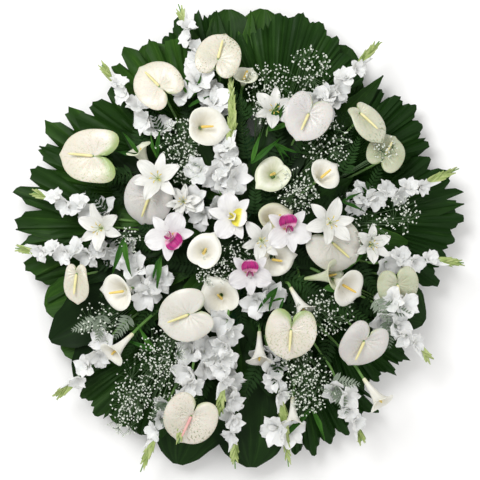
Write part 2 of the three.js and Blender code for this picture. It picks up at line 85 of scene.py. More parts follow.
class Slot(Enum):
    """Material slots for what grows, which each piece carries but nothing reads; the holder's solids have
    none.
    """

    DARK_LEAF = "dark_leaf"
    SPLIT_LEAF = "split_leaf"
    GLADIOLUS = "gladiolus_petal"
    ANTHURIUM = "anthurium_spathe"
    CALLA = "calla_spathe"
    ORCHID = "orchid_petal"
    LILY = "lily_petal"
    GYPSOPHILA = "gypsophila_bloom"
    FOLIAGE = "fine_foliage"


# ---- Shader maths ----


class Signal:
    """A shader socket that can be used in expressions."""

    def __init__(self, shader: "Shader", socket: bpy.types.NodeSocket) -> None:
        """Wraps a socket of a shader."""
        self.shader = shader
        self.socket = socket

    def __add__(self, other: "Signal | float") -> "Signal":
        """Adds a value."""
        return self.shader.math("ADD", self, other)

    def __radd__(self, other: float) -> "Signal":
        """Adds itself to a number."""
        return self.shader.math("ADD", other, self)

    def __sub__(self, other: "Signal | float") -> "Signal":
        """Takes a value away."""
        return self.shader.math("SUBTRACT", self, other)

    def __rsub__(self, other: float) -> "Signal":
        """Takes itself away from a number."""
        return self.shader.math("SUBTRACT", other, self)

    def __mul__(self, other: "Signal | float") -> "Signal":
        """Multiplies by a value."""
        return self.shader.math("MULTIPLY", self, other)

    def __rmul__(self, other: float) -> "Signal":
        """Multiplies a number by itself."""
        return self.shader.math("MULTIPLY", other, self)


class Shader:
    """One material, written as expressions on its sockets."""

    def __init__(self, name: str) -> None:
        """Starts an empty material."""
        self.material = bpy.data.materials.new(name)
        self.material.use_nodes = True
        self.tree = self.material.node_tree
        self.tree.nodes.clear()

    def node(self, kind: str, settings: dict | None = None, inputs: dict | None = None) -> bpy.types.Node:
        """Adds a node.

        Args:
            kind: The node's type.
            settings: Its own properties, set first.
            inputs: Values or signals of its sockets, by name or number.

        Returns:
            The node.
        """
        made = self.tree.nodes.new(kind)
        for key, value in (settings or {}).items():
            setattr(made, key, value)
        for key, value in (inputs or {}).items():
            if isinstance(value, Signal):
                self.tree.links.new(value.socket, made.inputs[key])
            else:
                made.inputs[key].default_value = value
        return made

    def signal(
        self, kind: str, settings: dict | None = None, inputs: dict | None = None, output: int | str = 0
    ) -> Signal:
        """Adds a node and gives the signal of one of its outputs."""
        return Signal(self, self.node(kind, settings, inputs).outputs[output])

    def math(self, operation: str, *values: "Signal | float") -> Signal:
        """Works out a number from numbers.

        Args:
            operation: The Math node's operation.
            values: Its inputs in order.

        Returns:
            The result.
        """
        return self.signal("ShaderNodeMath", {"operation": operation}, dict(enumerate(values)))

    def place(self) -> Signal:
        """Gives the point in the object's own place."""
        return self.signal("ShaderNodeTexCoord", output="Object")

    def spread(self, along: float = 1.0, across: float = 1.0) -> Signal:
        """Gives the surface's own coordinates, scaled along and across the petal or leaf."""
        uv = self.signal("ShaderNodeTexCoord", output="UV")
        return self.signal("ShaderNodeMapping", None, {"Vector": uv, "Scale": (along, across, 1.0)})

    def along_across(self) -> tuple[Signal, Signal]:
        """Gives the shares along and across the petal or leaf."""
        uv = self.signal("ShaderNodeTexCoord", output="UV")
        made = self.node("ShaderNodeSeparateXYZ", None, {0: uv})
        return Signal(self, made.outputs[0]), Signal(self, made.outputs[1])

    def tint(self) -> Signal:
        """Gives the copy's own shade, from 0 to 1."""
        return self.signal("ShaderNodeAttribute", {"attribute_name": "tint"}, output="Fac")

    def noise(self, where: Signal, scale: float, detail: float = 3.0, warp: float = 0.0) -> Signal:
        """Gives smooth noise.

        Args:
            where: The point that it is read at.
            scale: How many waves to a unit.
            detail: How many octaves.
            warp: How far it is distorted.

        Returns:
            A value about 0.5.
        """
        values = {"Vector": where, "Scale": scale, "Detail": detail, "Distortion": warp}
        return self.signal("ShaderNodeTexNoise", None, values)

    def cells(self, where: Signal, scale: float) -> Signal:
        """Gives the distance from the edges between cells."""
        settings = {"feature": "DISTANCE_TO_EDGE"}
        return self.signal("ShaderNodeTexVoronoi", settings, {"Vector": where, "Scale": scale}, "Distance")

    def between(self, value: Signal, low: float, high: float) -> Signal:
        """Gives 0 below one value and 1 above another, smoothly."""
        settings = {"interpolation_type": "SMOOTHSTEP"}
        inputs = {"Value": value, "From Min": low, "From Max": high}
        return self.signal("ShaderNodeMapRange", settings, inputs)

    def blend(self, share: Signal | float, low: Signal | Colour, high: Signal | Colour) -> Signal:
        """Mixes two colours.

        Args:
            share: How much of the second colour.
            low: The first colour.
            high: The second colour.

        Returns:
            The mixed colour.
        """
        ends = [end if isinstance(end, Signal) else (*end, 1.0) for end in (low, high)]
        return self.signal("ShaderNodeMix", {"data_type": "RGBA"}, {0: share, 6: ends[0], 7: ends[1]}, 2)

    def bump(self, height: Signal, distance: float, strength: float = 1.0) -> Signal:
        """Gives a normal from a height.

        Args:
            height: The height, about 0 to 1.
            distance: The real height of 1, in millimetres.
            strength: How strongly it shows.

        Returns:
            The normal.
        """
        inputs = {"Height": height, "Distance": distance * MM, "Strength": strength}
        return self.signal("ShaderNodeBump", None, inputs)

    def finish(self, **inputs: Signal | float | Colour) -> bpy.types.Material:
        """Joins the signals to the surface.

        Args:
            inputs: The surface's sockets, with underscores for spaces.

        Returns:
            The material.
        """
        named = {key.replace("_", " "): value for key, value in inputs.items()}
        surface = self.node("ShaderNodeBsdfPrincipled", None, named)
        output = self.node("ShaderNodeOutputMaterial")
        self.tree.links.new(surface.outputs[0], output.inputs[0])
        return self.material


# ---- Finishes ----


@dataclass(frozen=True)
class LeafFinish:
    """A waxy leaf with streaks that run along its folds; its paler streaks are partly the leaf's own colour
    and partly painted highlight.
    """

    name: str
    deep: Colour
    middle: Colour
    # bright: the paler streaks' colour, partly the leaf's own and partly painted highlight
    bright: Colour
    streaks: float
    roughness: float = 0.5

    def material(self) -> bpy.types.Material:
        """Builds the material."""
        shader = Shader(self.name)
        place = shader.place()
        streak = shader.noise(shader.spread(1.1, self.streaks), 1.0, 4.0, 0.4)
        fine = shader.noise(shader.spread(3.0, 6.0 * self.streaks), 1.0, 3.0)
        patch = shader.noise(place, 11.0, 3.0)
        light = shader.between(streak * 0.55 + patch * 0.5 + shader.tint() * 0.3, 0.5, 0.95)
        body = shader.blend(light, self.deep, self.middle)
        # Paler streaks along the folds: partly the leaf's own colour, partly painted highlight.
        pale_streak_and_highlight = shader.between(fine * 0.5 + streak * 0.5 + shader.tint() * 0.12, 0.58, 0.8)
        body = shader.blend(pale_streak_and_highlight * 0.55, body, self.bright)
        rough = shader.noise(place, 60.0) * 0.22 + (self.roughness - 0.11)
        relief = shader.bump(fine * 0.7 + shader.noise(place, 240.0) * 0.3, 0.5, 0.5)
        return shader.finish(Base_Color=body, Roughness=rough, Normal=relief, Specular_IOR_Level=0.1)


@dataclass(frozen=True)
class PetalFinish:
    """A thin petal: its foot is tinted, fine veins run along it, and painted shade lies over it in soft grey
    patches.
    """

    name: str
    body: Colour
    # shade: the grey of the painted shade on the petal
    shade: Colour
    foot: Colour
    foot_reach: float = 0.3
    rim: Colour | None = None
    veins: float = 14.0
    relief: float = 0.35
    roughness: float = 0.5
    glow: float = 0.18

    def material(self) -> bpy.types.Material:
        """Builds the material."""
        shader = Shader(self.name)
        place = shader.place()
        along, _ = shader.along_across()
        vein = shader.noise(shader.spread(1.6, self.veins), 1.0, 3.0, 0.3)
        cloud = shader.noise(place, 45.0, 3.0)
        # Painted shade: soft grey patches that follow the veins and clouds of noise.
        painted_shade_share = shader.between(vein * 0.5 + cloud * 0.4 + shader.tint() * 0.25, 0.42, 0.85)
        body = shader.blend(painted_shade_share, self.body, self.shade)
        heart = (1.0 - shader.between(along + vein * 0.12, 0.02, self.foot_reach)) * 0.85
        body = shader.blend(heart, body, self.foot)
        if self.rim:
            edge = shader.between(along + cloud * 0.1, 0.86, 1.04)
            body = shader.blend(edge * 0.7, body, self.rim)
        rough = cloud * 0.2 + (self.roughness - 0.1)
        relief = shader.bump(vein * 0.75 + shader.noise(place, 420.0) * 0.25, self.relief, 0.6)
        return shader.finish(
            Base_Color=body,
            Roughness=rough,
            Normal=relief,
            Subsurface_Weight=self.glow,
            Subsurface_Radius=(1.0, 0.9, 0.7),
            Subsurface_Scale=0.004,
            Sheen_Weight=0.08,
        )


@dataclass(frozen=True)
class SpatheFinish:
    """A quilted, satiny anthurium spathe: pale, flecked in parts, and green at its lobes.

    Its coordinates run outwards from the notch, and across from one lobe to the other.
    """

    name: str
    body: Colour
    blush: Colour
    edge: Colour
    lobes: Colour = (0.3, 0.4, 0.12)
    flecks: float = 0.5
    green_from: float = 1.12

    def material(self) -> bpy.types.Material:
        """Builds the material."""
        shader = Shader(self.name)
        place = shader.place()
        along, across = shader.along_across()
        quilt = shader.between(shader.cells(place, 130.0), 0.0, 0.35)
        ray = shader.noise(shader.spread(2.0, 26.0), 1.0, 3.0, 0.8)
        vein = shader.between(ray, 0.58, 0.72)
        cloud = shader.noise(place, 16.0, 3.0)
        patch = shader.between(shader.noise(place, 9.0) + shader.tint() * 0.12, 0.5, 0.68)
        body = shader.blend(shader.between(cloud + shader.tint() * 0.25, 0.4, 0.85), self.body, self.blush)
        fleck = shader.between(shader.noise(shader.spread(12.0, 80.0), 1.0, 2.0), 0.53, 0.64)
        body = shader.blend(fleck * (patch * 0.85 + 0.15) * self.flecks + vein * 0.14, body, self.edge)
        side = shader.math("ABSOLUTE", across * 2.0 - 1.0)
        green = shader.between(side + along * 0.3 + cloud * 0.2, self.green_from, self.green_from + 0.3)
        body = shader.blend(green * 0.8, body, self.lobes)
        rim = shader.between(along + cloud * 0.08, 0.96, 1.05)
        body = shader.blend(rim * 0.3, body, self.edge)
        relief = shader.bump(quilt * 0.35 + (1.0 - vein) * 0.65, 0.8, 0.7)
        rough = cloud * 0.18 + 0.26
        return shader.finish(
            Base_Color=body,
            Roughness=rough,
            Normal=relief,
            Coat_Weight=0.1,
            Coat_Roughness=0.25,
            Subsurface_Weight=0.1,
            Subsurface_Scale=0.004,
        )


@dataclass(frozen=True)
class GrainFinish:
    """A plain material with mottling and fine grain: stems, buds, foam, plastic and steel."""

    name: str
    body: Colour
    shade: Colour
    mottle: float
    grain: float
    relief: float
    roughness: float
    metallic: float = 0.0

    def material(self) -> bpy.types.Material:
        """Builds the material."""
        shader = Shader(self.name)
        place = shader.place()
        cloud = shader.noise(place, self.mottle, 4.0, 0.3)
        speck = shader.noise(place, self.grain, 2.0)
        share = shader.between(cloud * 0.6 + speck * 0.3 + shader.tint() * 0.2, 0.35, 0.8)
        rough = speck * 0.2 + (self.roughness - 0.1)
        return shader.finish(
            Base_Color=shader.blend(share, self.body, self.shade),
            Roughness=rough,
            Metallic=self.metallic,
            Normal=shader.bump(speck * 0.6 + cloud * 0.4, self.relief, 0.7),
        )


@dataclass(frozen=True)
class LipFinish:
    """An orchid's lip: strong and veined, pale towards its foot and at its rim."""

    name: str
    body: Colour
    deep: Colour
    throat: Colour
    blush: Colour
    rim: Colour
    rim_from: float = 0.93

    def material(self) -> bpy.types.Material:
        """Builds the material."""
        shader = Shader(self.name)
        along, _ = shader.along_across()
        vein = shader.noise(shader.spread(2.0, 18.0), 1.0, 3.0, 0.5)
        body = shader.blend(shader.between(vein, 0.42, 0.66), self.body, self.deep)
        body = shader.blend(1.0 - shader.between(along + vein * 0.1, 0.36, 0.5), body, self.blush)
        body = shader.blend(1.0 - shader.between(along, 0.06, 0.24), body, self.throat)
        edge = shader.between(along + vein * 0.16, self.rim_from, self.rim_from + 0.17)
        body = shader.blend(edge, body, self.rim)
        relief = shader.bump(vein, 0.4, 0.7)
        return shader.finish(Base_Color=body, Roughness=0.5, Normal=relief, Sheen_Weight=0.08)


@dataclass(frozen=True)
class TimberFinish:
    """Planed softwood: growth rings stretched along the batten."""

    name: str
    early: Colour
    late: Colour

    def material(self) -> bpy.types.Material:
        """Builds the material."""
        shader = Shader(self.name)
        inputs = {"Vector": shader.place(), "Scale": (1.0, 0.06, 1.0)}
        place = shader.signal("ShaderNodeMapping", None, inputs)
        ring = shader.signal("ShaderNodeTexWave", {"bands_direction": "X"}, {
            "Vector": place, "Scale": 62.0, "Distortion": 5.0, "Detail": 3.0, "Detail Scale": 0.9,
        }, "Fac")
        fibre = shader.noise(place, 700.0, 3.0)
        body = shader.blend(shader.between(ring * 0.8 + fibre * 0.3, 0.2, 1.0), self.early, self.late)
        relief = shader.bump(ring * 0.4 + fibre * 0.6, 0.3, 0.6)
        return shader.finish(Base_Color=body, Roughness=fibre * 0.2 + 0.55, Normal=relief)


class Finish(Enum):
    """Every finish of the wreath."""

    # Leaf finishes: deep and middle tones, then the paler streaks' colour, which is partly painted highlight.
    FAN_LEAF = LeafFinish(
        "fan_leaf", (0.008, 0.029, 0.004), (0.023, 0.07, 0.01), (0.062, 0.128, 0.034),
        streaks=30.0,
    )
    SPLIT_LEAF = LeafFinish(
        "split_leaf", (0.01, 0.034, 0.004), (0.029, 0.088, 0.009),
        (0.075, 0.148, 0.024), streaks=12.0,
    )
    BROAD_LEAF = LeafFinish(
        "broad_leaf", (0.005, 0.017, 0.003), (0.015, 0.046, 0.007),
        (0.042, 0.088, 0.02), streaks=9.0,
    )
    FERN = LeafFinish(
        "fern", (0.008, 0.024, 0.005), (0.022, 0.066, 0.013), (0.06, 0.12, 0.036),
        streaks=6.0, roughness=0.6,
    )
    FRESH_LEAF = LeafFinish(
        "fresh_leaf", (0.016, 0.07, 0.007), (0.042, 0.14, 0.014), (0.12, 0.25, 0.045),
        streaks=8.0,
    )
    GREY_LEAF = LeafFinish(
        "grey_leaf", (0.13, 0.17, 0.12), (0.27, 0.32, 0.25), (0.46, 0.5, 0.44),
        streaks=6.0, roughness=0.6,
    )
    # Petal finishes: body, then the grey of the painted shade, then the foot's tint.
    GLADIOLUS = PetalFinish(
        "gladiolus_petal", (0.82, 0.82, 0.805), (0.66, 0.68, 0.66), (0.7, 0.74, 0.5),
        foot_reach=0.16,
    )
    ORCHID = PetalFinish(
        "orchid_petal", (0.72, 0.71, 0.7), (0.58, 0.56, 0.57), (0.64, 0.62, 0.5),
        foot_reach=0.14, veins=9.0,
    )
    LILY = PetalFinish(
        "lily_petal", (0.74, 0.735, 0.7), (0.58, 0.585, 0.54), (0.6, 0.64, 0.34),
        foot_reach=0.26, veins=7.0,
    )
    CALLA = PetalFinish(
        "calla_spathe", (0.8, 0.785, 0.72), (0.72, 0.7, 0.6), (0.72, 0.7, 0.4),
        foot_reach=0.3, rim=(0.78, 0.78, 0.68), veins=30.0, relief=0.25, roughness=0.42,
    )
    CREAM_CALLA = PetalFinish(
        "cream_calla_spathe", (0.76, 0.72, 0.58), (0.64, 0.6, 0.42), (0.55, 0.58, 0.28),
        foot_reach=0.45, rim=(0.66, 0.68, 0.44), veins=30.0, relief=0.25, roughness=0.42,
    )
    GREEN_CALLA = PetalFinish(
        "green_calla_spathe", (0.78, 0.78, 0.66), (0.56, 0.62, 0.4), (0.38, 0.5, 0.2),
        foot_reach=0.5, rim=(0.7, 0.74, 0.52), veins=22.0, relief=0.3, roughness=0.42,
    )
    CREAM_SPATHE = SpatheFinish(
        "cream_spathe", (0.7, 0.655, 0.575), (0.6, 0.58, 0.47), (0.21, 0.22, 0.1),
        flecks=0.85,
    )
    WHITE_SPATHE = SpatheFinish(
        "white_spathe", (0.66, 0.64, 0.59), (0.56, 0.54, 0.48), (0.34, 0.37, 0.24),
        flecks=0.25,
    )
    GREEN_SPATHE = SpatheFinish(
        "green_spathe", (0.42, 0.45, 0.3), (0.58, 0.58, 0.46), (0.16, 0.22, 0.09),
        flecks=0.7,
    )
    GREY_SPATHE = SpatheFinish(
        "grey_spathe", (0.57, 0.55, 0.54), (0.64, 0.62, 0.58), (0.3, 0.32, 0.24),
        flecks=0.5,
    )
    TINGED_SPATHE = SpatheFinish(
        "tinged_spathe", (0.72, 0.67, 0.61), (0.64, 0.6, 0.5), (0.28, 0.34, 0.12),
        (0.2, 0.33, 0.05), green_from=0.88,
    )
    LIP = LipFinish(
        "orchid_lip", (0.42, 0.004, 0.17), (0.17, 0.001, 0.09), (0.62, 0.42, 0.08),
        (0.76, 0.42, 0.56), (0.8, 0.55, 0.68),
    )
    PALE_LIP = LipFinish(
        "pale_lip", (0.74, 0.68, 0.08), (0.6, 0.54, 0.04), (0.4, 0.46, 0.04),
        (0.7, 0.6, 0.06), (0.8, 0.79, 0.74), rim_from=0.62,
    )
    CREAM_SPADIX = GrainFinish(
        "cream_spadix", (0.8, 0.74, 0.42), (0.66, 0.62, 0.26), mottle=70, grain=900,
        relief=0.5, roughness=0.6,
    )
    GOLD_SPADIX = GrainFinish(
        "gold_spadix", (0.8, 0.62, 0.17), (0.72, 0.48, 0.09), mottle=70, grain=900,
        relief=0.5, roughness=0.6,
    )
    PINK_SPADIX = GrainFinish(
        "pink_spadix", (0.72, 0.34, 0.34), (0.8, 0.5, 0.44), mottle=70, grain=900, relief=0.5,
        roughness=0.6,
    )
    STEM = GrainFinish(
        "green_stem", (0.08, 0.2, 0.035), (0.16, 0.3, 0.07), mottle=40, grain=300, relief=0.3,
        roughness=0.45,
    )
    BUD = GrainFinish(
        "green_bud", (0.24, 0.34, 0.08), (0.46, 0.52, 0.22), mottle=60, grain=300, relief=0.3,
        roughness=0.45,
    )
    POLLEN = GrainFinish(
        "pollen", (0.7, 0.56, 0.12), (0.5, 0.34, 0.05), mottle=200, grain=900, relief=0.5,
        roughness=0.8,
    )
    BREATH = GrainFinish(
        "gypsophila_bloom", (0.78, 0.8, 0.74), (0.4, 0.46, 0.36), mottle=200, grain=900,
        relief=0.5, roughness=0.6,
    )
    TWIG = GrainFinish(
        "gypsophila_twig", (0.05, 0.11, 0.035), (0.1, 0.17, 0.07), mottle=120, grain=500,
        relief=0.2, roughness=0.6,
    )
    TRAY = GrainFinish(
        "tray_plastic", (0.012, 0.05, 0.02), (0.018, 0.07, 0.028), mottle=30, grain=900,
        relief=0.15, roughness=0.38,
    )
    FOAM = GrainFinish(
        "floral_foam", (0.03, 0.12, 0.045), (0.05, 0.17, 0.07), mottle=90, grain=1600,
        relief=0.8, roughness=0.95,
    )
    STEEL = GrainFinish(
        "zinc_steel", (0.42, 0.43, 0.45), (0.55, 0.56, 0.58), mottle=120, grain=1500,
        relief=0.08, roughness=0.34, metallic=1.0,
    )
    TIMBER = TimberFinish("softwood", (0.5, 0.33, 0.17), (0.3, 0.17, 0.075))

    @cache
    def material(self) -> bpy.types.Material:
        """Builds the finish's material once."""
        return self.value.material()


# ---- Modelling ----


def shift(x: float, y: float, z: float) -> Matrix:
    """Gives a move."""
    return Matrix.Translation((x, y, z))


def rotation(degrees: float, axis: str = "Z") -> Matrix:
    """Gives a turn about one of the axes."""
    return Matrix.Rotation(math.radians(degrees), 4, axis)


@dataclass
class Cut:
    """One modelled part, such as a petal, in millimetres, ready to be copied into a plant."""

    points: Array
    corners: Array
    sizes: Array
    spread: Array

    def moved(self, matrix: Matrix) -> "Cut":
        """Gives a copy that is moved by a matrix."""
        rows = np.array(matrix)
        return replace(self, points=self.points @ rows[:3, :3].T + rows[:3, 3])


def merged(cuts: Sequence[Cut]) -> Cut:
    """Joins several parts into one."""
    starts = np.cumsum([0] + [len(cut.points) for cut in cuts[:-1]])
    return Cut(
        np.vstack([cut.points for cut in cuts]),
        np.concatenate([cut.corners + start for cut, start in zip(cuts, starts)]).astype(np.int32),
        np.concatenate([cut.sizes for cut in cuts]),
        np.vstack([cut.spread for cut in cuts]),
    )


def shape_grid(shape: Shape, rows: int, columns: int, thickness: float, closed: bool = False) -> Cut:
    """Models a sheet from a flat grid.

    Args:
        shape: Gives the points for the shares along and across the sheet.
        rows: Faces along the sheet.
        columns: Faces across it.
        thickness: Its thickness, laid behind it, or 0 for a closed solid.
        closed: Whether its two sides and its poles meet and are merged.

    Returns:
        The sheet.
    """
    bpy.ops.object.select_all(action="DESELECT")
    bpy.ops.mesh.primitive_grid_add(x_subdivisions=rows, y_subdivisions=columns, size=1.0)
    made = bpy.context.object
    flat = np.empty(len(made.data.vertices) * 3)
    made.data.vertices.foreach_get("co", flat)
    flat = flat.reshape(-1, 3) + 0.5
    points = shape(np.clip(flat[:, 0], 0, 1), np.clip(flat[:, 1], 0, 1))
    made.data.vertices.foreach_set("co", np.ascontiguousarray(points, dtype=float).ravel())
    if closed:
        bpy.ops.object.mode_set(mode="EDIT")
        bpy.ops.mesh.select_all(action="SELECT")
        bpy.ops.mesh.remove_doubles(threshold=0.01)
        bpy.ops.mesh.normals_make_consistent(inside=False)
        bpy.ops.object.mode_set(mode="OBJECT")
    if thickness:
        wall = made.modifiers.new("wall", "SOLIDIFY")
        wall.thickness = thickness
        wall.offset = -1.0
        bpy.ops.object.modifier_apply(modifier=wall.name)
    return taken(made)


def taken(made: bpy.types.Object) -> Cut:
    """Takes the mesh out of an object and removes the object."""
    mesh = made.data
    points = np.empty(len(mesh.vertices) * 3)
    mesh.vertices.foreach_get("co", points)
    corners = np.empty(len(mesh.loops), dtype=np.int32)
    mesh.loops.foreach_get("vertex_index", corners)
    sizes = np.empty(len(mesh.polygons), dtype=np.int32)
    mesh.polygons.foreach_get("loop_total", sizes)
    spread = np.zeros(len(mesh.loops) * 2)
    if mesh.uv_layers:
        mesh.uv_layers[0].data.foreach_get("uv", spread)
    bpy.data.objects.remove(made)
    bpy.data.meshes.remove(mesh)
    return Cut(points.reshape(-1, 3), corners, sizes, spread.reshape(-1, 2))


def tube(route: Sequence[Vector], radii: Sequence[float], sides: int = 6) -> Cut:
    """Builds a stem with closed ends along a route.

    Args:
        route: The middle line's points.
        radii: The radius at each of them.
        sides: Faces round it.

    Returns:
        The stem.
    """
    middle = np.array([tuple(point) for point in route])
    tangents = np.gradient(middle, axis=0)
    tangents /= np.linalg.norm(tangents, axis=1)[:, None]
    first = np.cross(tangents[0], ASIDE)
    rings = []
    for point, tangent, radius in zip(middle, tangents, radii):
        first = first - tangent * np.dot(first, tangent)
        first /= np.linalg.norm(first)
        second = np.cross(tangent, first)
        turn = np.arange(sides) * 2 * math.pi / sides
        rings.append(point + radius * (np.outer(np.cos(turn), first) + np.outer(np.sin(turn), second)))
    count = len(rings)
    faces = []
    spread = []
    for ring in range(count - 1):
        for side in range(sides):
            after = (side + 1) % sides
            here, up = ring * sides, (ring + 1) * sides
            faces.append((here + side, here + after, up + after, up + side))
            low, high = ring / count, (ring + 1) / count
            near, far = side / sides, (side + 1) / sides
            spread += [(low, near), (low, far), (high, far), (high, near)]
    corners = [corner for face in faces for corner in face]
    sizes = [4] * len(faces)
    for cap in (list(range(sides))[::-1], list(range((count - 1) * sides, count * sides))):
        corners += cap
        sizes.append(sides)
        spread += [(0.0, 0.0)] * sides
    whole = [np.array(numbers, dtype=np.int32) for numbers in (corners, sizes)]
    return Cut(np.vstack(rings), *whole, np.array(spread))


def eased(points: Sequence[Vector], steps: int) -> list[Vector]:
    """Gives a smooth line through some points.

    Args:
        points: The points that it passes.
        steps: How many stretches it has between two of them.

    Returns:
        The line's points.
    """
    padded = [points[0] * 2 - points[1], *points, points[-1] * 2 - points[-2]]
    line = []
    for index in range(1, len(padded) - 2):
        before, start, end, after = padded[index - 1 : index + 3]
        for step in range(steps):
            t = step / steps
            line.append(0.5 * (
                2 * start
                + (end - before) * t
                + (2 * before - 5 * start + 4 * end - after) * t**2
                + (3 * start - before - 3 * end + after) * t**3
            ))
    return [*line, points[-1].copy()]


@dataclass
class Bundle:
    """Gathers the parts of one plant and joins them into one piece."""

    name: str
    slot: Slot
    parts: list[tuple[Cut, Finish, float]] = field(default_factory=list)

    def add(self, cut: Cut, finish: Finish, tint: float = 0.5) -> None:
        """Adds a part, its finish and its own shade."""
        self.parts.append((cut, finish, tint))

    def add_each(self, cuts: Iterable[Cut], finish: Finish, jitter: Jitter) -> None:
        """Adds parts of one finish, each in a shade of its own."""
        for cut in cuts:
            self.add(cut, finish, jitter.random())

    def shifted(self, by: Vector) -> None:
        """Moves every part so far."""
        matrix = Matrix.Translation(by)
        self.parts = [(cut.moved(matrix), finish, tint) for cut, finish, tint in self.parts]

    def cloud(self) -> Array:
        """Gives every point so far."""
        return np.vstack([cut.points for cut, _, _ in self.parts])

    def build(self, nodes: Iterable[str] = ()) -> None:
        """Makes the piece, which rides on the wreath's one body.

        Args:
            nodes: The solids that it stands for.
        """
        finishes = list(dict.fromkeys(finish for _, finish, _ in self.parts))
        mesh = bpy.data.meshes.new(self.name)
        whole = merged([cut for cut, _, _ in self.parts])
        sizes = whole.sizes
        mesh.vertices.add(len(whole.points))
        mesh.vertices.foreach_set("co", (whole.points * MM).ravel())
        mesh.loops.add(len(whole.corners))
        mesh.loops.foreach_set("vertex_index", whole.corners)
        mesh.polygons.add(len(sizes))
        mesh.polygons.foreach_set("loop_start", np.concatenate([[0], np.cumsum(sizes)[:-1]]).astype(np.int32))
        mesh.polygons.foreach_set("loop_total", sizes)
        indices = [np.full(len(cut.sizes), finishes.index(finish)) for cut, finish, _ in self.parts]
        mesh.polygons.foreach_set("material_index", np.concatenate(indices).astype(np.int32))
        layer = mesh.uv_layers.new(name="spread")
        layer.data.foreach_set("uv", whole.spread.ravel())
        shade = mesh.attributes.new("tint", "FLOAT", "POINT")
        shades = np.concatenate([np.full(len(cut.points), tint) for cut, _, tint in self.parts])
        shade.data.foreach_set("value", shades)
        mesh.polygons.foreach_set("use_smooth", np.ones(len(sizes), dtype=bool))
        mesh.update(calc_edges=True)
        mesh.set_sharp_from_angle(angle=SMOOTH_ANGLE)
        for finish in finishes:
            mesh.materials.append(finish.material())
        piece = bpy.data.objects.new(self.name, mesh)
        bpy.context.scene.collection.objects.link(piece)
        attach(piece, "root")
        if nodes:
            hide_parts(*nodes)
        mesh.calc_loop_triangles()
        log.info("%s: %d triangles", self.name, len(mesh.loop_triangles))


# ---- Where things are ----


def node_points(node: str) -> Array:
    """Gives a solid's points in millimetres."""
    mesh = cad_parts[node].data
    flat = np.empty(len(mesh.vertices) * 3)
    mesh.vertices.foreach_get("co", flat)
    return flat.reshape(-1, 3) / MM


def tray_middle() -> Vector:
    """Gives the middle of the round tray, which every plant is set about, at the ground."""
    low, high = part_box("foam_tray")
    middle = (low + high) / 2 / MM
    return Vector((middle.x, middle.y, 0.0))


MIDDLE = tray_middle()
FOAM_LOW, FOAM_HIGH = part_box("foam_disc")
FOAM_TOP = FOAM_HIGH.z / MM
FOAM_RADIUS = (FOAM_HIGH.x - FOAM_LOW.x) / 2 / MM
CROWN_TOP = CAD_BOX[1].z / MM
HALF_SPAN = (CAD_BOX[1].x - CAD_BOX[0].x) / 2 / MM
DOME_RIM = 0.46 * CROWN_TOP
DOME_RISE = 0.34 * CROWN_TOP
CROWN_DEPTH = 40.0
ROOT_DEPTH = 5.0
ROOT_HEIGHT = 0.6 * FOAM_TOP
ROOT_LIMIT = 0.82 * FOAM_RADIUS
ROOT_SHARE = 0.6


def at(x: float, y: float, z: float) -> Vector:
    """Gives a point from its place about the tray's middle."""
    return MIDDLE + Vector((x, y, z))


def ring_point(radius: float, way: float, z: float) -> Vector:
    """Gives a point from its distance and direction from the tray's middle."""
    angle = math.radians(way)
    return at(radius * math.cos(angle), radius * math.sin(angle), z)


def dome(x: float, y: float) -> float:
    """Gives the height of the foliage that the flowers stand in: highest over the foam."""
    share = min(1.0, math.hypot(x, y) / HALF_SPAN)
    return DOME_RIM + DOME_RISE * (1 - share**2)


def crown(points: Array, depth: float) -> tuple[Vector, Vector]:
    """Gives the box of the highest part of a plant.

    Args:
        points: The plant's points.
        depth: How far down the part reaches.

    Returns:
        The lowest and highest corner.
    """
    high = points[points[:, 2] > points[:, 2].max() - depth]
    return Vector(high.min(axis=0)), Vector(high.max(axis=0))


def turned(x: float, y: float, z: float, tip: float, lean: float, lean_to: float) -> Matrix:
    """Gives a bloom's place: turned about its own axis, then leant over, then moved.

    Args:
        x: Across the wreath.
        y: Up the wreath.
        z: Above the ground.
        tip: Which way its tip points, in degrees.
        lean: How far it leans over.
        lean_to: Which way it leans.

    Returns:
        The matrix.
    """
    way = math.radians(lean_to)
    axis = Vector((-math.sin(way), math.cos(way), 0.0))
    over = Matrix.Rotation(math.radians(lean), 4, axis)
    return shift(x, y, z) @ over @ rotation(tip)


def laid(foot: Vector, way: float, slope: float = 0.0, roll: float = 0.0, size: float = 1.0) -> Matrix:
    """Gives the place of a leaf that lies along a direction.

    Args:
        foot: Where it starts.
        way: Its direction in degrees.
        slope: How far its tip is turned down.
        roll: How far it is turned about its own length.
        size: Its size as a share.

    Returns:
        The matrix.
    """
    turn = rotation(way) @ rotation(slope, "Y") @ rotation(roll, "X")
    return Matrix.Translation(foot) @ turn @ Matrix.Scale(size, 4)


def facing(foot: Vector, direction: Vector, roll: float = 0.0) -> Matrix:
    """Gives the place of a part that stands at a point with its axis along a direction."""
    turn = direction.to_track_quat("Z", "Y").to_matrix().to_4x4()
    return Matrix.Translation(foot) @ turn @ rotation(roll)


@dataclass(frozen=True)
class Stance:
    """Where a bloom is and how it stands, about the tray's middle."""

    x: float
    y: float
    tip: float
    reach: float
    lean: float
    lean_to: float
    rise: float = 0.0

    def matrix(self) -> Matrix:
        """Gives the bloom's place."""
        foot = at(self.x, self.y, dome(self.x, self.y) + self.rise)
        return turned(*foot, self.tip, self.lean, self.lean_to)


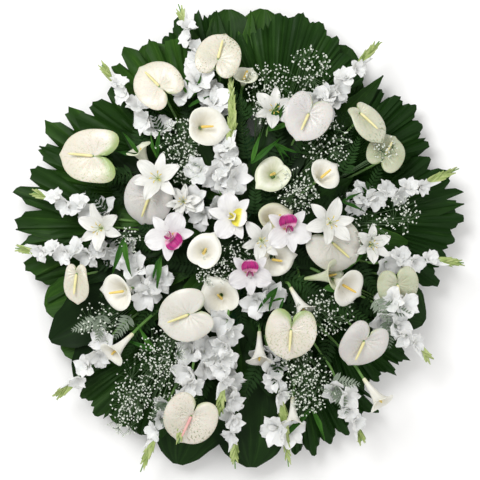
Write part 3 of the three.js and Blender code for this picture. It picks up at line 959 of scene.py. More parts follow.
def settle(bundle: Bundle, node: str, depth: float) -> Vector:
    """Moves a bloom onto the solid that it stands for.

    Args:
        bundle: The bloom's parts so far.
        node: The solid.
        depth: How far down the parts that are compared reach.

    Returns:
        How far it moved.
    """
    low, high = crown(bundle.cloud(), depth)
    wanted_low, wanted_high = crown(node_points(node), depth)
    by = (wanted_low + wanted_high) / 2 - (low + high) / 2
    by.z = wanted_high.z - high.z
    bundle.shifted(by)
    return by


def root_of(node: str) -> Vector:
    """Gives the lower end of a solid's stalk, inside the foam."""
    points = node_points(node)
    low = points[points[:, 2] < points[:, 2].min() + ROOT_DEPTH]
    return Vector(low.mean(axis=0))


def stalk(neck: Vector, inward: Vector, root: Vector, radius: float) -> Cut:
    """Builds a flower's stalk from its neck into the foam.

    Args:
        neck: Where the flower sits on it.
        inward: The direction in which it leaves the flower.
        root: Its lower end.
        radius: Its radius.

    Returns:
        The stalk.
    """
    upright, straight, taper = 30.0, 0.3, 0.85
    entry = root + Vector((0.0, 0.0, upright))
    bend = neck + inward.normalized() * straight * (neck - entry).length
    route = eased([neck, bend, entry, root], 6)
    return tube(route, np.linspace(taper * radius, radius, len(route)), 7)


def rooted(x: float, y: float) -> Vector:
    """Gives the place where the stalk of a flower at a point enters the foam."""
    distance = math.hypot(x, y)
    share = min(ROOT_SHARE * distance, ROOT_LIMIT) / max(distance, 1.0)
    return at(x * share, y * share, ROOT_HEIGHT)


@dataclass(frozen=True)
class Plant:
    """A plant, which stands for the solid of its name where there is one."""

    name: str

    def solid(self) -> bool:
        """Says whether it stands for a solid."""
        return self.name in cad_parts

    def bundle(self, slot: Slot) -> Bundle:
        """Starts the plant's piece."""
        return Bundle(f"{self.name}_dressed" if self.solid() else self.name, slot)

    def finish(self, bundle: Bundle) -> None:
        """Makes the piece in the place of its solid."""
        bundle.build([self.name] if self.solid() else ())

    def root(self, x: float, y: float) -> Vector:
        """Gives the lower end of its stalk, which leaves the foam near a point."""
        return root_of(self.name) if self.solid() else rooted(x, y)


@dataclass(frozen=True)
class Bloom(Plant):
    """A bloom on a stalk."""

    stance: Stance

    def plant(
        self, bundle: Bundle, place: Matrix, neck: float, radius: float, depth: float = CROWN_DEPTH
    ) -> None:
        """Moves the bloom onto its solid, adds its stalk and makes the piece.

        Args:
            bundle: The bloom's parts.
            place: Where they were put.
            neck: Where the stalk ends, along the bloom's own axis.
            radius: The stalk's radius.
            depth: How far down the bloom is compared with its solid.
        """
        by = settle(bundle, self.name, depth) if self.solid() else Vector((0, 0, 0))
        top = place @ Vector((0, 0, neck)) + by
        inward = place.to_3x3() @ Vector((0, 0, -1))
        bundle.add(stalk(top, inward, self.root(self.stance.x, self.stance.y), radius), Finish.STEM)
        self.finish(bundle)


# ---- Petals and leaves ----


def widths(u: Array, widest: float, foot: float, point: float) -> Array:
    """Gives the half-width of a petal or leaf as a share, along its length.

    Args:
        u: The shares along it.
        widest: Where it is widest.
        foot: Its half-width at its foot.
        point: 2 for a round end, towards 1 for a pointed one.

    Returns:
        The half-widths.
    """
    rising = foot + (1 - foot) * (1 - (1 - np.clip(u / widest, 0, 1)) ** 2)
    over = np.clip((u - widest) / (1 - widest), 0, 1)
    falling = np.maximum(0.03, 1 - over**point) ** (1 / point)
    return np.where(u < widest, rising, falling)


class Sheet:
    """A thin part, shaped from a grid with rows along it and columns across it."""

    def cut(self) -> Cut:
        """Models the part."""
        return shape_grid(self.shape, self.rows, self.columns, self.thickness)


@dataclass(frozen=True)
class Petal(Sheet):
    """A petal that starts along the flower's axis and falls away from it."""

    length: float
    width: float
    widest: float = 0.6
    foot: float = 0.3
    point: float = 2.0
    start: float = 10.0
    end: float = 85.0
    cup: float = 0.25
    crease: float = 0.0
    ruffle: float = 0.0
    waves: float = 3.0
    phase: float = 0.0
    thickness: float = 0.7
    rows: int = 9
    columns: int = 6
    ring: float = 1.5

    def shape(self, u: Array, v: Array) -> Array:
        """Gives the petal's points, with the flower's axis along Z and the petal towards X."""
        side = 2 * v - 1
        steps, fall = 200, 1.15
        fine = np.linspace(0, 1, steps)
        angle = np.radians(self.start + (self.end - self.start) * fine**fall)
        out = np.cumsum(np.sin(angle)) * self.length / steps
        up = np.cumsum(np.cos(angle)) * self.length / steps
        here = np.radians(self.start + (self.end - self.start) * u**fall)
        half = self.width / 2 * widths(u, self.widest, self.foot, self.point)
        wave = np.sin(2 * np.pi * self.waves * u + self.phase + 1.7 * np.sign(side))
        lift = self.cup * half * side**2 - self.crease * np.exp(-((side / 0.16) ** 2))
        lift = lift + self.ruffle * wave * np.abs(side) ** 2 * u**0.7
        lift = lift + 0.5 * self.ruffle * np.sin(7.0 * side + self.phase) * u**3
        x = self.ring + np.interp(u, fine, out) - np.cos(here) * lift
        z = np.interp(u, fine, up) + np.sin(here) * lift
        return np.column_stack([x, side * half, z])

    def kinds(self, *kinds: tuple[float, float]) -> list[Cut]:
        """Models the petal several times, each by its ruffle's phase and the angle at its end."""
        return [replace(self, phase=phase, end=end).cut() for phase, end in kinds]


def whorl(
    petals: Sequence[Cut], count: int, first: float, place: Matrix, jitter: Jitter, wobble: float
) -> list[Cut]:
    """Sets petals round a flower's axis.

    Args:
        petals: The petals that are taken in turn.
        count: How many are set.
        first: The first one's direction in degrees.
        place: The flower's place.
        jitter: Where small differences come from.
        wobble: How many degrees they may turn.

    Returns:
        The petals in place.
    """
    made = []
    for index in range(count):
        turn = first + 360 * index / count + jitter.uniform(-wobble, wobble)
        tilt = rotation(jitter.uniform(-wobble, wobble), "Y")
        size = Matrix.Scale(jitter.uniform(0.93, 1.06), 4)
        spin = rotation(turn)
        made.append(petals[index % len(petals)].moved(place @ spin @ tilt @ size))
    return made


@dataclass(frozen=True)
class Spadix:
    """A bumpy, tapered finger along Z."""

    length: float
    radius: float
    rows: int = 18
    columns: int = 14

    def shape(self, u: Array, v: Array) -> Array:
        """Gives the finger's points."""
        turn = 2 * np.pi * v
        profile = np.sqrt(np.clip(1 - (2 * np.abs(u - 0.5)) ** 8, 0, 1)) * (1 - 0.35 * u)
        bump = 1 + 0.07 * np.cos(7 * turn + np.pi * np.round(u * self.rows))
        radius = self.radius * profile * bump
        bend = 0.06 * self.length * u**2
        return np.column_stack([radius * np.cos(turn) + bend, radius * np.sin(turn), self.length * u])

    def cut(self) -> Cut:
        """Models the finger."""
        return shape_grid(self.shape, self.rows, self.columns, 0.0, closed=True)


class LeafKind(Enum):
    """The kinds of leaf in the collar."""

    FAN = "fan"
    SPLIT = "split"
    BLADE = "blade"


@dataclass(frozen=True)
class FanLeaf:
    """A palm leaf: pleats spread from its hub, and its rim is stepped, torn and toothed."""

    half: float
    reach: float
    folds: int
    tooth: float
    way: float
    seed: int
    tears: float = 0.05
    hub: float = 6.0
    pleat: float = 15.0
    crease: float = 3.6
    rows: int = 12
    thickness: float = 1.0

    def pleats(self) -> int:
        """Gives the number of pleats."""
        arc = 2 * math.radians(self.half) * self.reach
        return self.folds * max(2, round(arc / self.pleat / self.folds))

    def valley(self, v: Array) -> Array:
        """Gives 0 on the ridge of a fold and 1 in the valley between two."""
        return np.abs((((v + 1) * self.folds) % 1) - 0.5) * 2

    def rim(self, v: Array) -> Array:
        """Gives the rim's distance from the hub across the leaf, without its tears."""
        uneven = 0.965 + 0.035 * np.sin(9 * v + self.way)
        return self.reach * (1 - self.tooth * self.valley(v)) * uneven * (0.9 + 0.1 * np.sin(np.pi * v))

    def shape(self, u: Array, v: Array) -> Array:
        """Gives the leaf's points, with its hub at the origin and its middle along X."""
        jitter = np.random.default_rng(self.seed)
        count = self.pleats()
        column = np.round(v * 2 * count).astype(int)
        ridge = column % 2
        pleat = np.minimum(column // 2, count - 1)
        step = jitter.uniform(-0.035, 0.015, count)[pleat // 3]
        length = 1 + step + jitter.uniform(-0.012, 0.012, count)[pleat]
        spike = (jitter.random(count) < 0.05) * jitter.uniform(0.02, 0.06, count)
        torn = (jitter.random(2 * count + 1) < self.tears) * jitter.uniform(0.04, 0.14, 2 * count + 1)
        own = length + spike[pleat] * ridge - torn[column] - 0.014 * (1 - ridge)
        sag = jitter.uniform(-4, 4, count)[pleat]
        reach = self.hub + (self.rim(v) * own - self.hub) * u
        swing = jitter.uniform(-0.3, 0.3, 2 * count + 1)[column] * np.radians(2 * self.half) / (2 * count)
        angle = np.radians(self.half * (2 * v - 1)) + swing * u**2
        height = np.minimum(self.crease, 0.5 * self.pleat * u) * (ridge - 0.5)
        z = 14 * np.sin(2.4 * u) - 9.8 * u - 5 * self.valley(v) * u + height + sag * u**3
        return np.column_stack([reach * np.cos(angle), reach * np.sin(angle), z])

    def cut(self) -> Cut:
        """Models the leaf."""
        return shape_grid(self.shape, self.rows, 2 * self.pleats(), self.thickness)


@dataclass(frozen=True)
class SplitLeaf(FanLeaf):
    """A leaf that is split into pointed lobes, each with one fold along it."""

    split: float = 0.11
    pleat: float = 24.0
    crease: float = 3.0

    def rim(self, v: Array) -> Array:
        """Gives the rim's distance from the hub: deep, narrow splits between the lobes."""
        uneven = 0.95 + 0.05 * np.sin(7 * v + self.way) + 0.03 * np.sin(23 * v + 2 * self.way)
        lobe = 1 - 0.4 * self.tooth * self.valley(v) - self.split * self.valley(v) ** 5
        return self.reach * lobe * uneven * (0.9 + 0.1 * np.sin(np.pi * v))


@dataclass(frozen=True)
class BroadLeaf(Sheet):
    """A broad leaf with a folded midrib and ribs that run out from it."""

    reach: float
    width: float
    widest: float = 0.45
    point: float = 1.6
    foot: float = 0.08
    arch: float = 14.0
    droop: float = 9.8
    ribs: int = 9
    wave: float = 3.0
    phase: float = 0.0
    rows: int = 22
    columns: int = 10
    thickness: float = 0.9

    def shape(self, u: Array, v: Array) -> Array:
        """Gives the leaf's points, with its foot at the origin and its tip along X."""
        side = 2 * v - 1
        half = self.width / 2 * widths(u, self.widest, self.foot, self.point)
        half = half * (1 + 0.04 * np.sin(31 * u + self.phase) * np.abs(side))
        sweep = 0.12 * self.width * np.abs(side) ** 1.5 * (1 - u) * u * 2
        rib = np.cos(2 * np.pi * self.ribs * (u - 0.16 * np.abs(side)))
        z = self.arch * np.sin(2.4 * u) - self.droop * u + 0.1 * half * np.abs(side)
        z = z + 0.9 * rib * np.sqrt(np.abs(side)) * np.sin(np.pi * np.clip(u, 0.02, 0.98))
        z = z + self.wave * np.sin(4 * np.pi * u + self.phase + 2 * np.sign(side)) * side**2
        z = z - 1.4 * np.exp(-((side / 0.07) ** 2))
        return np.column_stack([self.reach * u + sweep, half * side, z])


# ---- The leaf collar ----


@dataclass(frozen=True)
class CollarLeaf:
    """A leaf of the collar: its hub's direction, its own direction, its size and its folds.

    A dark one has the broad leaves' finish.
    """

    name: str
    kind: LeafKind
    at: float
    way: float
    reach: float
    half: float = 0.0
    folds: int = 0
    tooth: float = 0.0
    width: float = 0.0
    dark: bool = False


@dataclass
class LeafCollar:
    """The leaves that stand out round the foam."""

    radius: float = 275.0
    petiole: float = 3.0
    petiole_reach: float = 20.0
    petiole_rise: float = 2.0
    leaves: tuple[CollarLeaf, ...] = (
        CollarLeaf("fan_leaf_top", LeafKind.FAN, 97, 95, 328, 34, 7, 0.06),
        CollarLeaf("fan_leaf_right", LeafKind.FAN, 34, 34, 290, 42, 8, 0.07),
        CollarLeaf("broad_leaf_lower_right", LeafKind.BLADE, -20, -30, 246, width=180),
        CollarLeaf("fan_leaf_bottom_right", LeafKind.FAN, -62, -70, 334, 32, 7, 0.1),
        CollarLeaf("broad_leaf_bottom_left", LeafKind.BLADE, 252, 257, 328, width=230),
        CollarLeaf("broad_leaf_lower_left", LeafKind.BLADE, 221, 222, 284, width=190),
        CollarLeaf("split_leaf_low_left", LeafKind.SPLIT, 190, 194, 278, 36, 5, 0.16),
        CollarLeaf("split_leaf_high_left", LeafKind.SPLIT, 156, 157, 308, 34, 5, 0.16),
        CollarLeaf("split_leaf_upper_left", LeafKind.SPLIT, 134, 134, 256, 42, 6, 0.1),
        CollarLeaf("fan_leaf_upper_right", LeafKind.FAN, 72, 72, 320, 42, 8, 0.06),
        CollarLeaf("fan_leaf_far_right", LeafKind.FAN, 8, 2, 316, 42, 7, 0.1),
        CollarLeaf("fan_leaf_low_right", LeafKind.FAN, -41, -41, 258, 42, 7, 0.08),
        CollarLeaf("broad_leaf_bottom", LeafKind.BLADE, -84, -90, 314, width=240),
        CollarLeaf("fan_leaf_lower_left", LeafKind.FAN, 237, 231, 328, 34, 6, 0.1, dark=True),
        CollarLeaf("oval_leaf_left", LeafKind.BLADE, 206, 211, 276, width=150),
        CollarLeaf("split_leaf_left", LeafKind.SPLIT, 174, 177, 332, 32, 5, 0.18),
        CollarLeaf("split_leaf_top_left", LeafKind.SPLIT, 115, 115, 306, 30, 5, 0.1),
    )

    def blade(self, leaf: CollarLeaf, seed: int) -> Cut:
        """Models one leaf's blade."""
        if leaf.kind is LeafKind.BLADE:
            return BroadLeaf(leaf.reach, leaf.width, phase=float(seed)).cut()
        kind = FanLeaf if leaf.kind is LeafKind.FAN else SplitLeaf
        return kind(leaf.half, leaf.reach, leaf.folds, leaf.tooth, leaf.way, seed).cut()

    def build(self) -> None:
        """Builds every leaf over its solid."""
        finishes = {
            LeafKind.FAN: Finish.FAN_LEAF,
            LeafKind.SPLIT: Finish.SPLIT_LEAF,
            LeafKind.BLADE: Finish.BROAD_LEAF,
        }
        jitter = Jitter(7)
        for seed, leaf in enumerate(self.leaves):
            slot = Slot.SPLIT_LEAF if leaf.kind is LeafKind.SPLIT else Slot.DARK_LEAF
            bundle = Bundle(f"{leaf.name}_dressed", slot)
            hub = ring_point(self.radius, leaf.at, 0.0)
            blade = self.blade(leaf, seed).moved(laid(hub, leaf.way))
            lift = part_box(leaf.name)[1].z / MM - blade.points[:, 2].max()
            finish = Finish.BROAD_LEAF if leaf.dark else finishes[leaf.kind]
            bundle.add(blade.moved(shift(0, 0, lift)), finish, jitter.random())
            hub.z = lift
            end = ring_point(self.radius + self.petiole_reach, leaf.at, lift + self.petiole_rise)
            route = eased([end, hub, root_of(leaf.name)], 3)
            bundle.add(tube(route, [self.petiole] * len(route), 7), Finish.STEM)
            bundle.build([leaf.name])


@dataclass(frozen=True)
class LeafRing:
    """A ring of leaves: how many, where their feet are, their size, and their two heights."""

    count: int
    foot: float
    length: float
    width: float
    low: float
    high: float


@dataclass
class UnderLeaves:
    """Leaves under the collar that close its gaps, and the pointed ones that stand out of it."""

    ring: LeafRing = LeafRing(23, 262, 252, 170, 53, 50)
    ring_step: float = 3.0
    fillers: tuple[tuple[float, float], ...] = (
        (93, 583), (84, 586), (75, 580), (116, 548), (236, 572), (242, 566), (200, 530), (213, 540),
        (60, 560),
    )
    filler_length: float = 210.0
    filler_rise: float = 4.0
    points: tuple[tuple[float, float], ...] = (
        (572, 84), (366, 412), (-572, 20), (-556, 105), (-512, 232), (-60, 578), (28, 578), (-232, 505),
    )
    point_length: float = 190.0
    point_height: float = 66.0

    def build(self) -> None:
        """Builds them as two pieces."""
        jitter = Jitter(31)
        under = Bundle("under_leaves", Slot.DARK_LEAF)
        self.add_ring(under, jitter)
        self.add_fillers(under, jitter)
        under.build()
        pointed = Bundle("pointed_leaves", Slot.SPLIT_LEAF)
        self.add_points(pointed, jitter)
        pointed.build()

    def add_ring(self, bundle: Bundle, jitter: Jitter) -> None:
        """Adds the ring of split and broad leaves."""
        kinds = [
            (SplitLeaf(31, self.ring.length, 4, 0.1, way, 60 + way, split=0.1).cut(), Finish.SPLIT_LEAF)
            for way in range(3)
        ]
        kinds.append((BroadLeaf(self.ring.length, self.ring.width, arch=8, droop=6).cut(), Finish.BROAD_LEAF))
        for index in range(self.ring.count):
            way = 360 * index / self.ring.count + jitter.uniform(-5, 5)
            cut, finish = kinds[index % len(kinds)]
            foot = ring_point(self.ring.foot, way, self.ring.low - self.ring_step * (index % 2))
            place = laid(foot, way + jitter.uniform(-6, 6), size=jitter.uniform(0.92, 1.04))
            bundle.add(cut.moved(place), finish, jitter.random())

    def add_fillers(self, bundle: Bundle, jitter: Jitter) -> None:
        """Adds the broad leaves whose tips fill the rim, each by its direction and its tip's distance."""
        filler = BroadLeaf(self.filler_length, 118, widest=0.6, point=2.0, arch=8, droop=8, wave=4).cut()
        for way, reach in self.fillers:
            foot = ring_point(reach - self.filler_length, way, self.ring.low + self.filler_rise)
            bundle.add(filler.moved(laid(foot, way)), Finish.SPLIT_LEAF, jitter.random())

    def add_points(self, bundle: Bundle, jitter: Jitter) -> None:
        """Adds the slim pointed leaves, each by its tip's place."""
        blade = BroadLeaf(
            self.point_length, 58, widest=0.35, point=1.12, arch=10, droop=10, ribs=4, wave=2
        ).cut()
        for x, y in self.points:
            way = math.atan2(y, x)
            foot = at(x, y, self.point_height) - Vector((math.cos(way), math.sin(way), 0)) * self.point_length
            bundle.add(blade.moved(laid(foot, math.degrees(way))), Finish.SPLIT_LEAF, jitter.random())


@dataclass
class InnerLeaves:
    """Leaves that hide the foam: rings of them, each layer higher and nearer the middle."""

    rings: tuple[LeafRing, ...] = (
        LeafRing(21, 195, 225, 96, 99, 88),
        LeafRing(19, 125, 215, 84, 113, 104),
        LeafRing(15, 55, 190, 76, 121, 118),
        LeafRing(9, 6, 140, 66, 126, 126),
    )

    def cuts(self, ring: LeafRing) -> list[Cut]:
        """Models the ring's three leaves, each narrower than the one before."""
        base = BroadLeaf(
            ring.length, ring.width, arch=15, droop=11, wave=5, point=1.4, rows=14, columns=8
        )
        narrowing = 0.2 * ring.width
        kinds = (replace(base, phase=1.9 * kind, width=ring.width - narrowing * kind) for kind in range(3))
        return [kind.cut() for kind in kinds]

    def build(self) -> None:
        """Builds each ring as a piece."""
        jitter = Jitter(21)
        for number, ring in enumerate(self.rings, 1):
            bundle = Bundle(f"inner_leaves_{number}", Slot.DARK_LEAF)
            cuts = self.cuts(ring)
            slope = math.degrees(math.atan2(ring.low - ring.high, ring.length))
            for index in range(ring.count):
                way = 360 * index / ring.count + jitter.uniform(-7, 7)
                foot = ring_point(ring.foot * jitter.uniform(0.85, 1.1), way, ring.low)
                turn = way + jitter.uniform(-20, 20)
                tilt = slope + jitter.uniform(-3, 3)
                place = laid(foot, turn, tilt, jitter.uniform(-12, 12), jitter.uniform(0.85, 1.05))
                finish = Finish.BROAD_LEAF if jitter.random() < 0.75 else Finish.SPLIT_LEAF
                bundle.add(cuts[index % 3].moved(place), finish, jitter.random())
            bundle.build()


@dataclass(frozen=True)
class Frond:
    """A fern frond: leaflets in pairs along a rib, longest near its foot."""

    length: float = 150.0
    width: float = 74.0
    pairs: int = 11
    curl: float = 16.0

    def rib(self, share: float) -> Vector:
        """Gives a point of the rib, which starts at the origin and runs along X."""
        return Vector((self.length * share, 0.0, self.curl * math.sin(2.6 * share)))

    def cut(self, seed: int) -> Cut:
        """Models the frond."""
        jitter = Jitter(seed)
        blade = BroadLeaf(
            100, 34, widest=0.32, point=1.3, foot=0.3, arch=5, droop=10, ribs=1, wave=0, rows=3, columns=2
        ).cut()
        line = [self.rib(step / 10) for step in range(11)]
        parts = [tube(line, np.linspace(1.1, 0.4, len(line)), 4)]
        for pair in range(self.pairs):
            share = 0.1 + 0.88 * pair / self.pairs
            size = self.width / 2 * (1 - share) ** 0.75 + 5
            for side in (1, -1):
                way = side * (72 - 34 * share + jitter.uniform(-6, 6))
                slope = jitter.uniform(-14, 6)
                place = laid(self.rib(share), way, slope, size=size / 100 * jitter.uniform(0.88, 1.08))
                parts.append(blade.moved(place))
        return merged(parts)


@dataclass(frozen=True)
class Tuft:
    """Narrow leaves that spread from a point, about the tray's middle, and lie along a direction."""

    x: float
    y: float
    way: float
    length: float
    count: int = 2
    rise: float = 4.0


@dataclass
class FineFoliage:
    """Fern fronds, greyish fronds and narrow bright leaves between the flowers."""

    rings: tuple[tuple[int, float], ...] = ((8, 60), (13, 125), (17, 190), (20, 255), (20, 315))
    sink: tuple[float, float] = (34.0, 54.0)
    lowest: float = 95.0
    grey_sink: float = 9.0
    tuft_sink: float = 12.0
    tuft_spread: float = 24.0
    grey_places: tuple[tuple[float, float], ...] = (
        (-200, -432), (-185, -402), (225, -357), (238, -372), (352, -176), (368, -204), (332, -152),
        (-350, -207), (-338, -188), (-270, -192),
    )
    tufts: tuple[Tuft, ...] = tuple(Tuft(*place) for place in (
        (-118, 345, 100, 78, 3, 12), (-128, 322, 40, 66, 2, 12), (-250, 205, 150, 90, 2),
        (-285, -2, 268, 118, 2, 26), (-205, 195, 120, 70, 2, 8), (28, 180, 85, 120, 2, 18),
        (70, 262, 70, 92, 3, 10), (84, 232, -20, 74, 3, 6), (92, -124, 265, 88, 2, 14),
        (108, -150, 240, 60, 2, 14), (-208, -285, 140, 92, 2, 6), (-196, -48, 262, 84, 2, 4),
        (205, -128, 20, 88, 2, 0), (252, 88, 20, 70, 2, 0), (305, -44, 200, 110, 3, -10),
        (180, -430, 262, 96, 3, -12),
    ))

    def build(self) -> None:
        """Builds the three kinds as a piece each."""
        self.build_ferns()
        self.build_grey_fronds()
        self.build_bright_leaves()

    def build_ferns(self) -> None:
        """Builds the dark fronds in rings."""
        jitter = Jitter(51)
        bundle = Bundle("fern_fronds", Slot.FOLIAGE)
        cuts = [Frond(135, 58, 13, 10).cut(1), Frond(110, 50, 12, 8).cut(2), Frond(150, 54, 14, 12).cut(3)]
        for count, distance in self.rings:
            for index in range(count):
                way = 360 * (index + jitter.uniform(-0.3, 0.3)) / count + distance
                foot = ring_point(distance * jitter.uniform(0.92, 1.08), way, 0.0)
                under = dome(foot.x - MIDDLE.x, foot.y - MIDDLE.y) - jitter.uniform(*self.sink)
                foot.z = max(self.lowest, under)
                turn = way + jitter.uniform(-55, 55)
                place = laid(foot, turn, jitter.uniform(3, 9), jitter.uniform(-20, 20))
                bundle.add(jitter.choice(cuts).moved(place), Finish.FERN, jitter.random())
        bundle.build()

    def build_grey_fronds(self) -> None:
        """Builds the greyish fronds."""
        jitter = Jitter(52)
        bundle = Bundle("grey_fronds", Slot.FOLIAGE)
        cut = Frond(76, 44, 9, 8).cut(4)
        for x, y in self.grey_places:
            way = math.degrees(math.atan2(y, x)) + jitter.uniform(-60, 60)
            place = laid(at(x, y, dome(x, y) - self.grey_sink), way, jitter.uniform(-6, 10))
            bundle.add(cut.moved(place), Finish.GREY_LEAF, jitter.random())
        bundle.build()

    def build_bright_leaves(self) -> None:
        """Builds the narrow bright leaves."""
        jitter = Jitter(53)
        bundle = Bundle("bright_leaves", Slot.FOLIAGE)
        blade = BroadLeaf(
            100, 15, widest=0.4, point=1.15, foot=0.2, arch=18, droop=16, ribs=3, wave=2, rows=12, columns=4
        ).cut()
        for tuft in self.tufts:
            for number in range(tuft.count):
                way = tuft.way + self.tuft_spread * (number - tuft.count / 2) + jitter.uniform(-22, 22)
                foot = at(tuft.x, tuft.y, dome(tuft.x, tuft.y) + tuft.rise - self.tuft_sink)
                roll = jitter.uniform(-35, 35)
                place = laid(foot, way, 0.0, roll, tuft.length / 100 * jitter.uniform(0.6, 1.1))
                bundle.add(blade.moved(place), Finish.FRESH_LEAF, jitter.random())
        bundle.build()


# ---- Gladioli ----


@dataclass(frozen=True)
class Spike(Plant):
    """A gladiolus spike's line about the tray's middle: its base, a point between and its tip.

    Its florets are open from the bare share of the line to the open share, and buds follow them.
    One without a solid has its line's height above the ground.
    """

    base: tuple[float, float]
    via: tuple[float, float]
    tip: tuple[float, float]
    height: float = 0.0
    open_share: float = 0.68
    bare: float = 0.0


@dataclass(frozen=True)
class Cluster:
    """Loose florets between the other flowers: where, how many and how widely they spread."""

    x: float
    y: float
    count: int
    spread: float
    rise: float = -8.0


@dataclass
class Gladioli:
    """The gladiolus spikes: white ruffled florets, then closed buds, then green ones."""

    stalk_radius: float = 3.6
    tip_radius: float = 1.6
    line_below_top: float = 53.0
    line_arch: float = 6.0
    line_drop: float = 4.0
    line_steps: int = 24
    first_size: float = 0.99
    size_fall: float = 0.36
    floret_gap: float = 26.0
    forward: float = 0.7
    floret_out: float = 0.75
    lower_sink: float = 2.0
    heart_rise: float = 4.0
    heart_size: float = 0.5
    bud_up: float = 0.06
    bud_out: float = 0.17
    bud_gap: float = 13.0
    last_bud: float = 0.93
    cluster_sink: float = 22.0
    cluster_stalk: float = 2.2
    spikes: tuple[Spike, ...] = (
        Spike("gladiolus_top", (-10, 195), (-88, 390), (-155, 585), open_share=0.84, bare=0.3),
        Spike("gladiolus_upper_left", (-200, 262), (-290, 362), (-347, 432), open_share=0.62),
        Spike("gladiolus_high_left", (-337, 55), (-440, 88), (-520, 112), open_share=0.62),
        Spike("gladiolus_left", (-280, -38), (-430, -38), (-565, -28), open_share=0.74),
        Spike("gladiolus_lower_left", (-330, -262), (-400, -345), (-462, -400), open_share=0.56),
        Spike("gladiolus_bottom_left", (-135, -320), (-192, -440), (-250, -590), open_share=0.66, bare=0.42),
        Spike("gladiolus_bottom", (-28, -215), (-22, -400), (-12, -582), open_share=0.76, bare=0.3),
        Spike("gladiolus_bottom_right", (70, -282), (105, -430), (122, -577), open_share=0.38),
        Spike("gladiolus_lower_right", (245, -370), (280, -445), (305, -512), open_share=0.62),
        Spike("gladiolus_low_right", (362, -195), (425, -255), (475, -307), open_share=0.6),
        Spike("gladiolus_right", (362, -62), (462, -58), (562, -65), open_share=0.56),
        Spike("gladiolus_high_right", (275, 92), (420, 118), (550, 172), open_share=0.62),
        Spike("gladiolus_upper_right", (195, 317), (275, 405), (350, 492), open_share=0.6),
        Spike("gladiolus_bottom_middle", (-118, -332), (-138, -425), (-152, -512), 160, 0.34),
        Spike("gladiolus_low_middle", (-30, -205), (-42, -330), (-50, -445), 166, 0.6),
        Spike("gladiolus_high_middle", (-44, 128), (-22, 265), (-22, 405), 166, 0.34),
    )
    clusters: tuple[Cluster, ...] = tuple(Cluster(*place) for place in (
        (-58, 172, 4, 50, 4), (-235, -102, 4, 40), (-100, -290, 3, 30), (-112, 372, 2, 30, 12),
        (-68, 318, 1, 20, 4), (396, -172, 2, 24, 6), (205, 345, 2, 22), (104, -478, 2, 22, -8),
        (-84, 66, 3, 34, -4), (48, -148, 2, 26, -12),
    ))

    def __post_init__(self) -> None:
        """Models the wide petals, the narrow ones and a closed bud's petal."""
        wide = Petal(
            54, 40, widest=0.58, foot=0.24, point=1.75, start=24, cup=0.12, crease=0.9, ruffle=3.4,
            waves=2.6, rows=8, columns=6,
        )
        narrow = Petal(
            54, 30, widest=0.55, foot=0.28, point=1.4, start=22, cup=0.14, crease=0.9, ruffle=2.8,
            waves=2.1, rows=8, columns=5,
        )
        closed = Petal(
            48, 14, widest=0.35, foot=0.5, point=1.2, start=3, end=-3, cup=0.9, crease=0.5, ruffle=0.4,
            waves=1.2, rows=5, columns=4, ring=1.6,
        )
        self.wides = wide.kinds((0.0, 94), (2.1, 74), (4.0, 112))
        self.narrows = narrow.kinds((1.0, 76), (3.0, 100))
        self.closed = closed.cut()

    def build(self) -> None:
        """Builds every spike and the loose florets."""
        for index, spike in enumerate(self.spikes):
            self.build_spike(spike, Jitter(100 + index))
        self.build_clusters()

    def build_spike(self, spike: Spike, jitter: Jitter) -> None:
        """Builds one spike.

        Args:
            spike: Its line.
            jitter: Where small differences come from.
        """
        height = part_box(spike.name)[1].z / MM - self.line_below_top if spike.solid() else spike.height
        bundle = spike.bundle(Slot.GLADIOLUS)
        arch, end = height + self.line_arch, height - self.line_drop
        line = eased([at(*spike.base, height), at(*spike.via, arch), at(*spike.tip, end)], self.line_steps)
        length = sum((b - a).length for a, b in zip(line, line[1:]))
        radii = np.linspace(self.stalk_radius, self.tip_radius, len(line))
        bundle.add(tube(line[::3], radii[::3], 6), Finish.STEM)
        root = spike.root(*spike.base)
        bundle.add(stalk(line[1], line[0] - line[1], root, self.stalk_radius), Finish.STEM)
        florets = max(3, round(length * (spike.open_share - spike.bare) / self.floret_gap))
        for number in range(florets):
            share = spike.bare + (spike.open_share - spike.bare) * number / (florets - 1)
            foot, direction = self.joint(line, share, number, jitter.uniform(1.0, 1.7), self.floret_out)
            size = self.first_size - self.size_fall * share / spike.open_share
            self.floret(bundle, foot, direction, size, jitter)
        buds = max(4, round(length * (1 - spike.open_share) / self.bud_gap))
        for number in range(buds):
            part = number / buds
            share = spike.open_share + (self.last_bud - spike.open_share) * (part + 0.3 / buds)
            self.shut_bud(bundle, line, share, number, 1.0 - 0.5 * part, jitter)
        spike.finish(bundle)

    def joint(
        self, line: list[Vector], share: float, number: int, up: float, out: float
    ) -> tuple[Vector, Vector]:
        """Gives a floret's point on the stalk and its direction, in two ranks.

        Args:
            line: The stalk's line.
            share: How far along it the floret is.
            number: The floret's number, which gives its rank.
            up: How much it turns up.
            out: How much it turns to its side.

        Returns:
            The point and the direction.
        """
        index = min(len(line) - 2, int(share * (len(line) - 1)))
        tangent = (line[index + 1] - line[index]).normalized()
        side = Vector((-tangent.y, tangent.x, 0.0)) * (out if number % 2 else -out)
        return line[index], (tangent * self.forward + side + Vector((0, 0, up))).normalized()

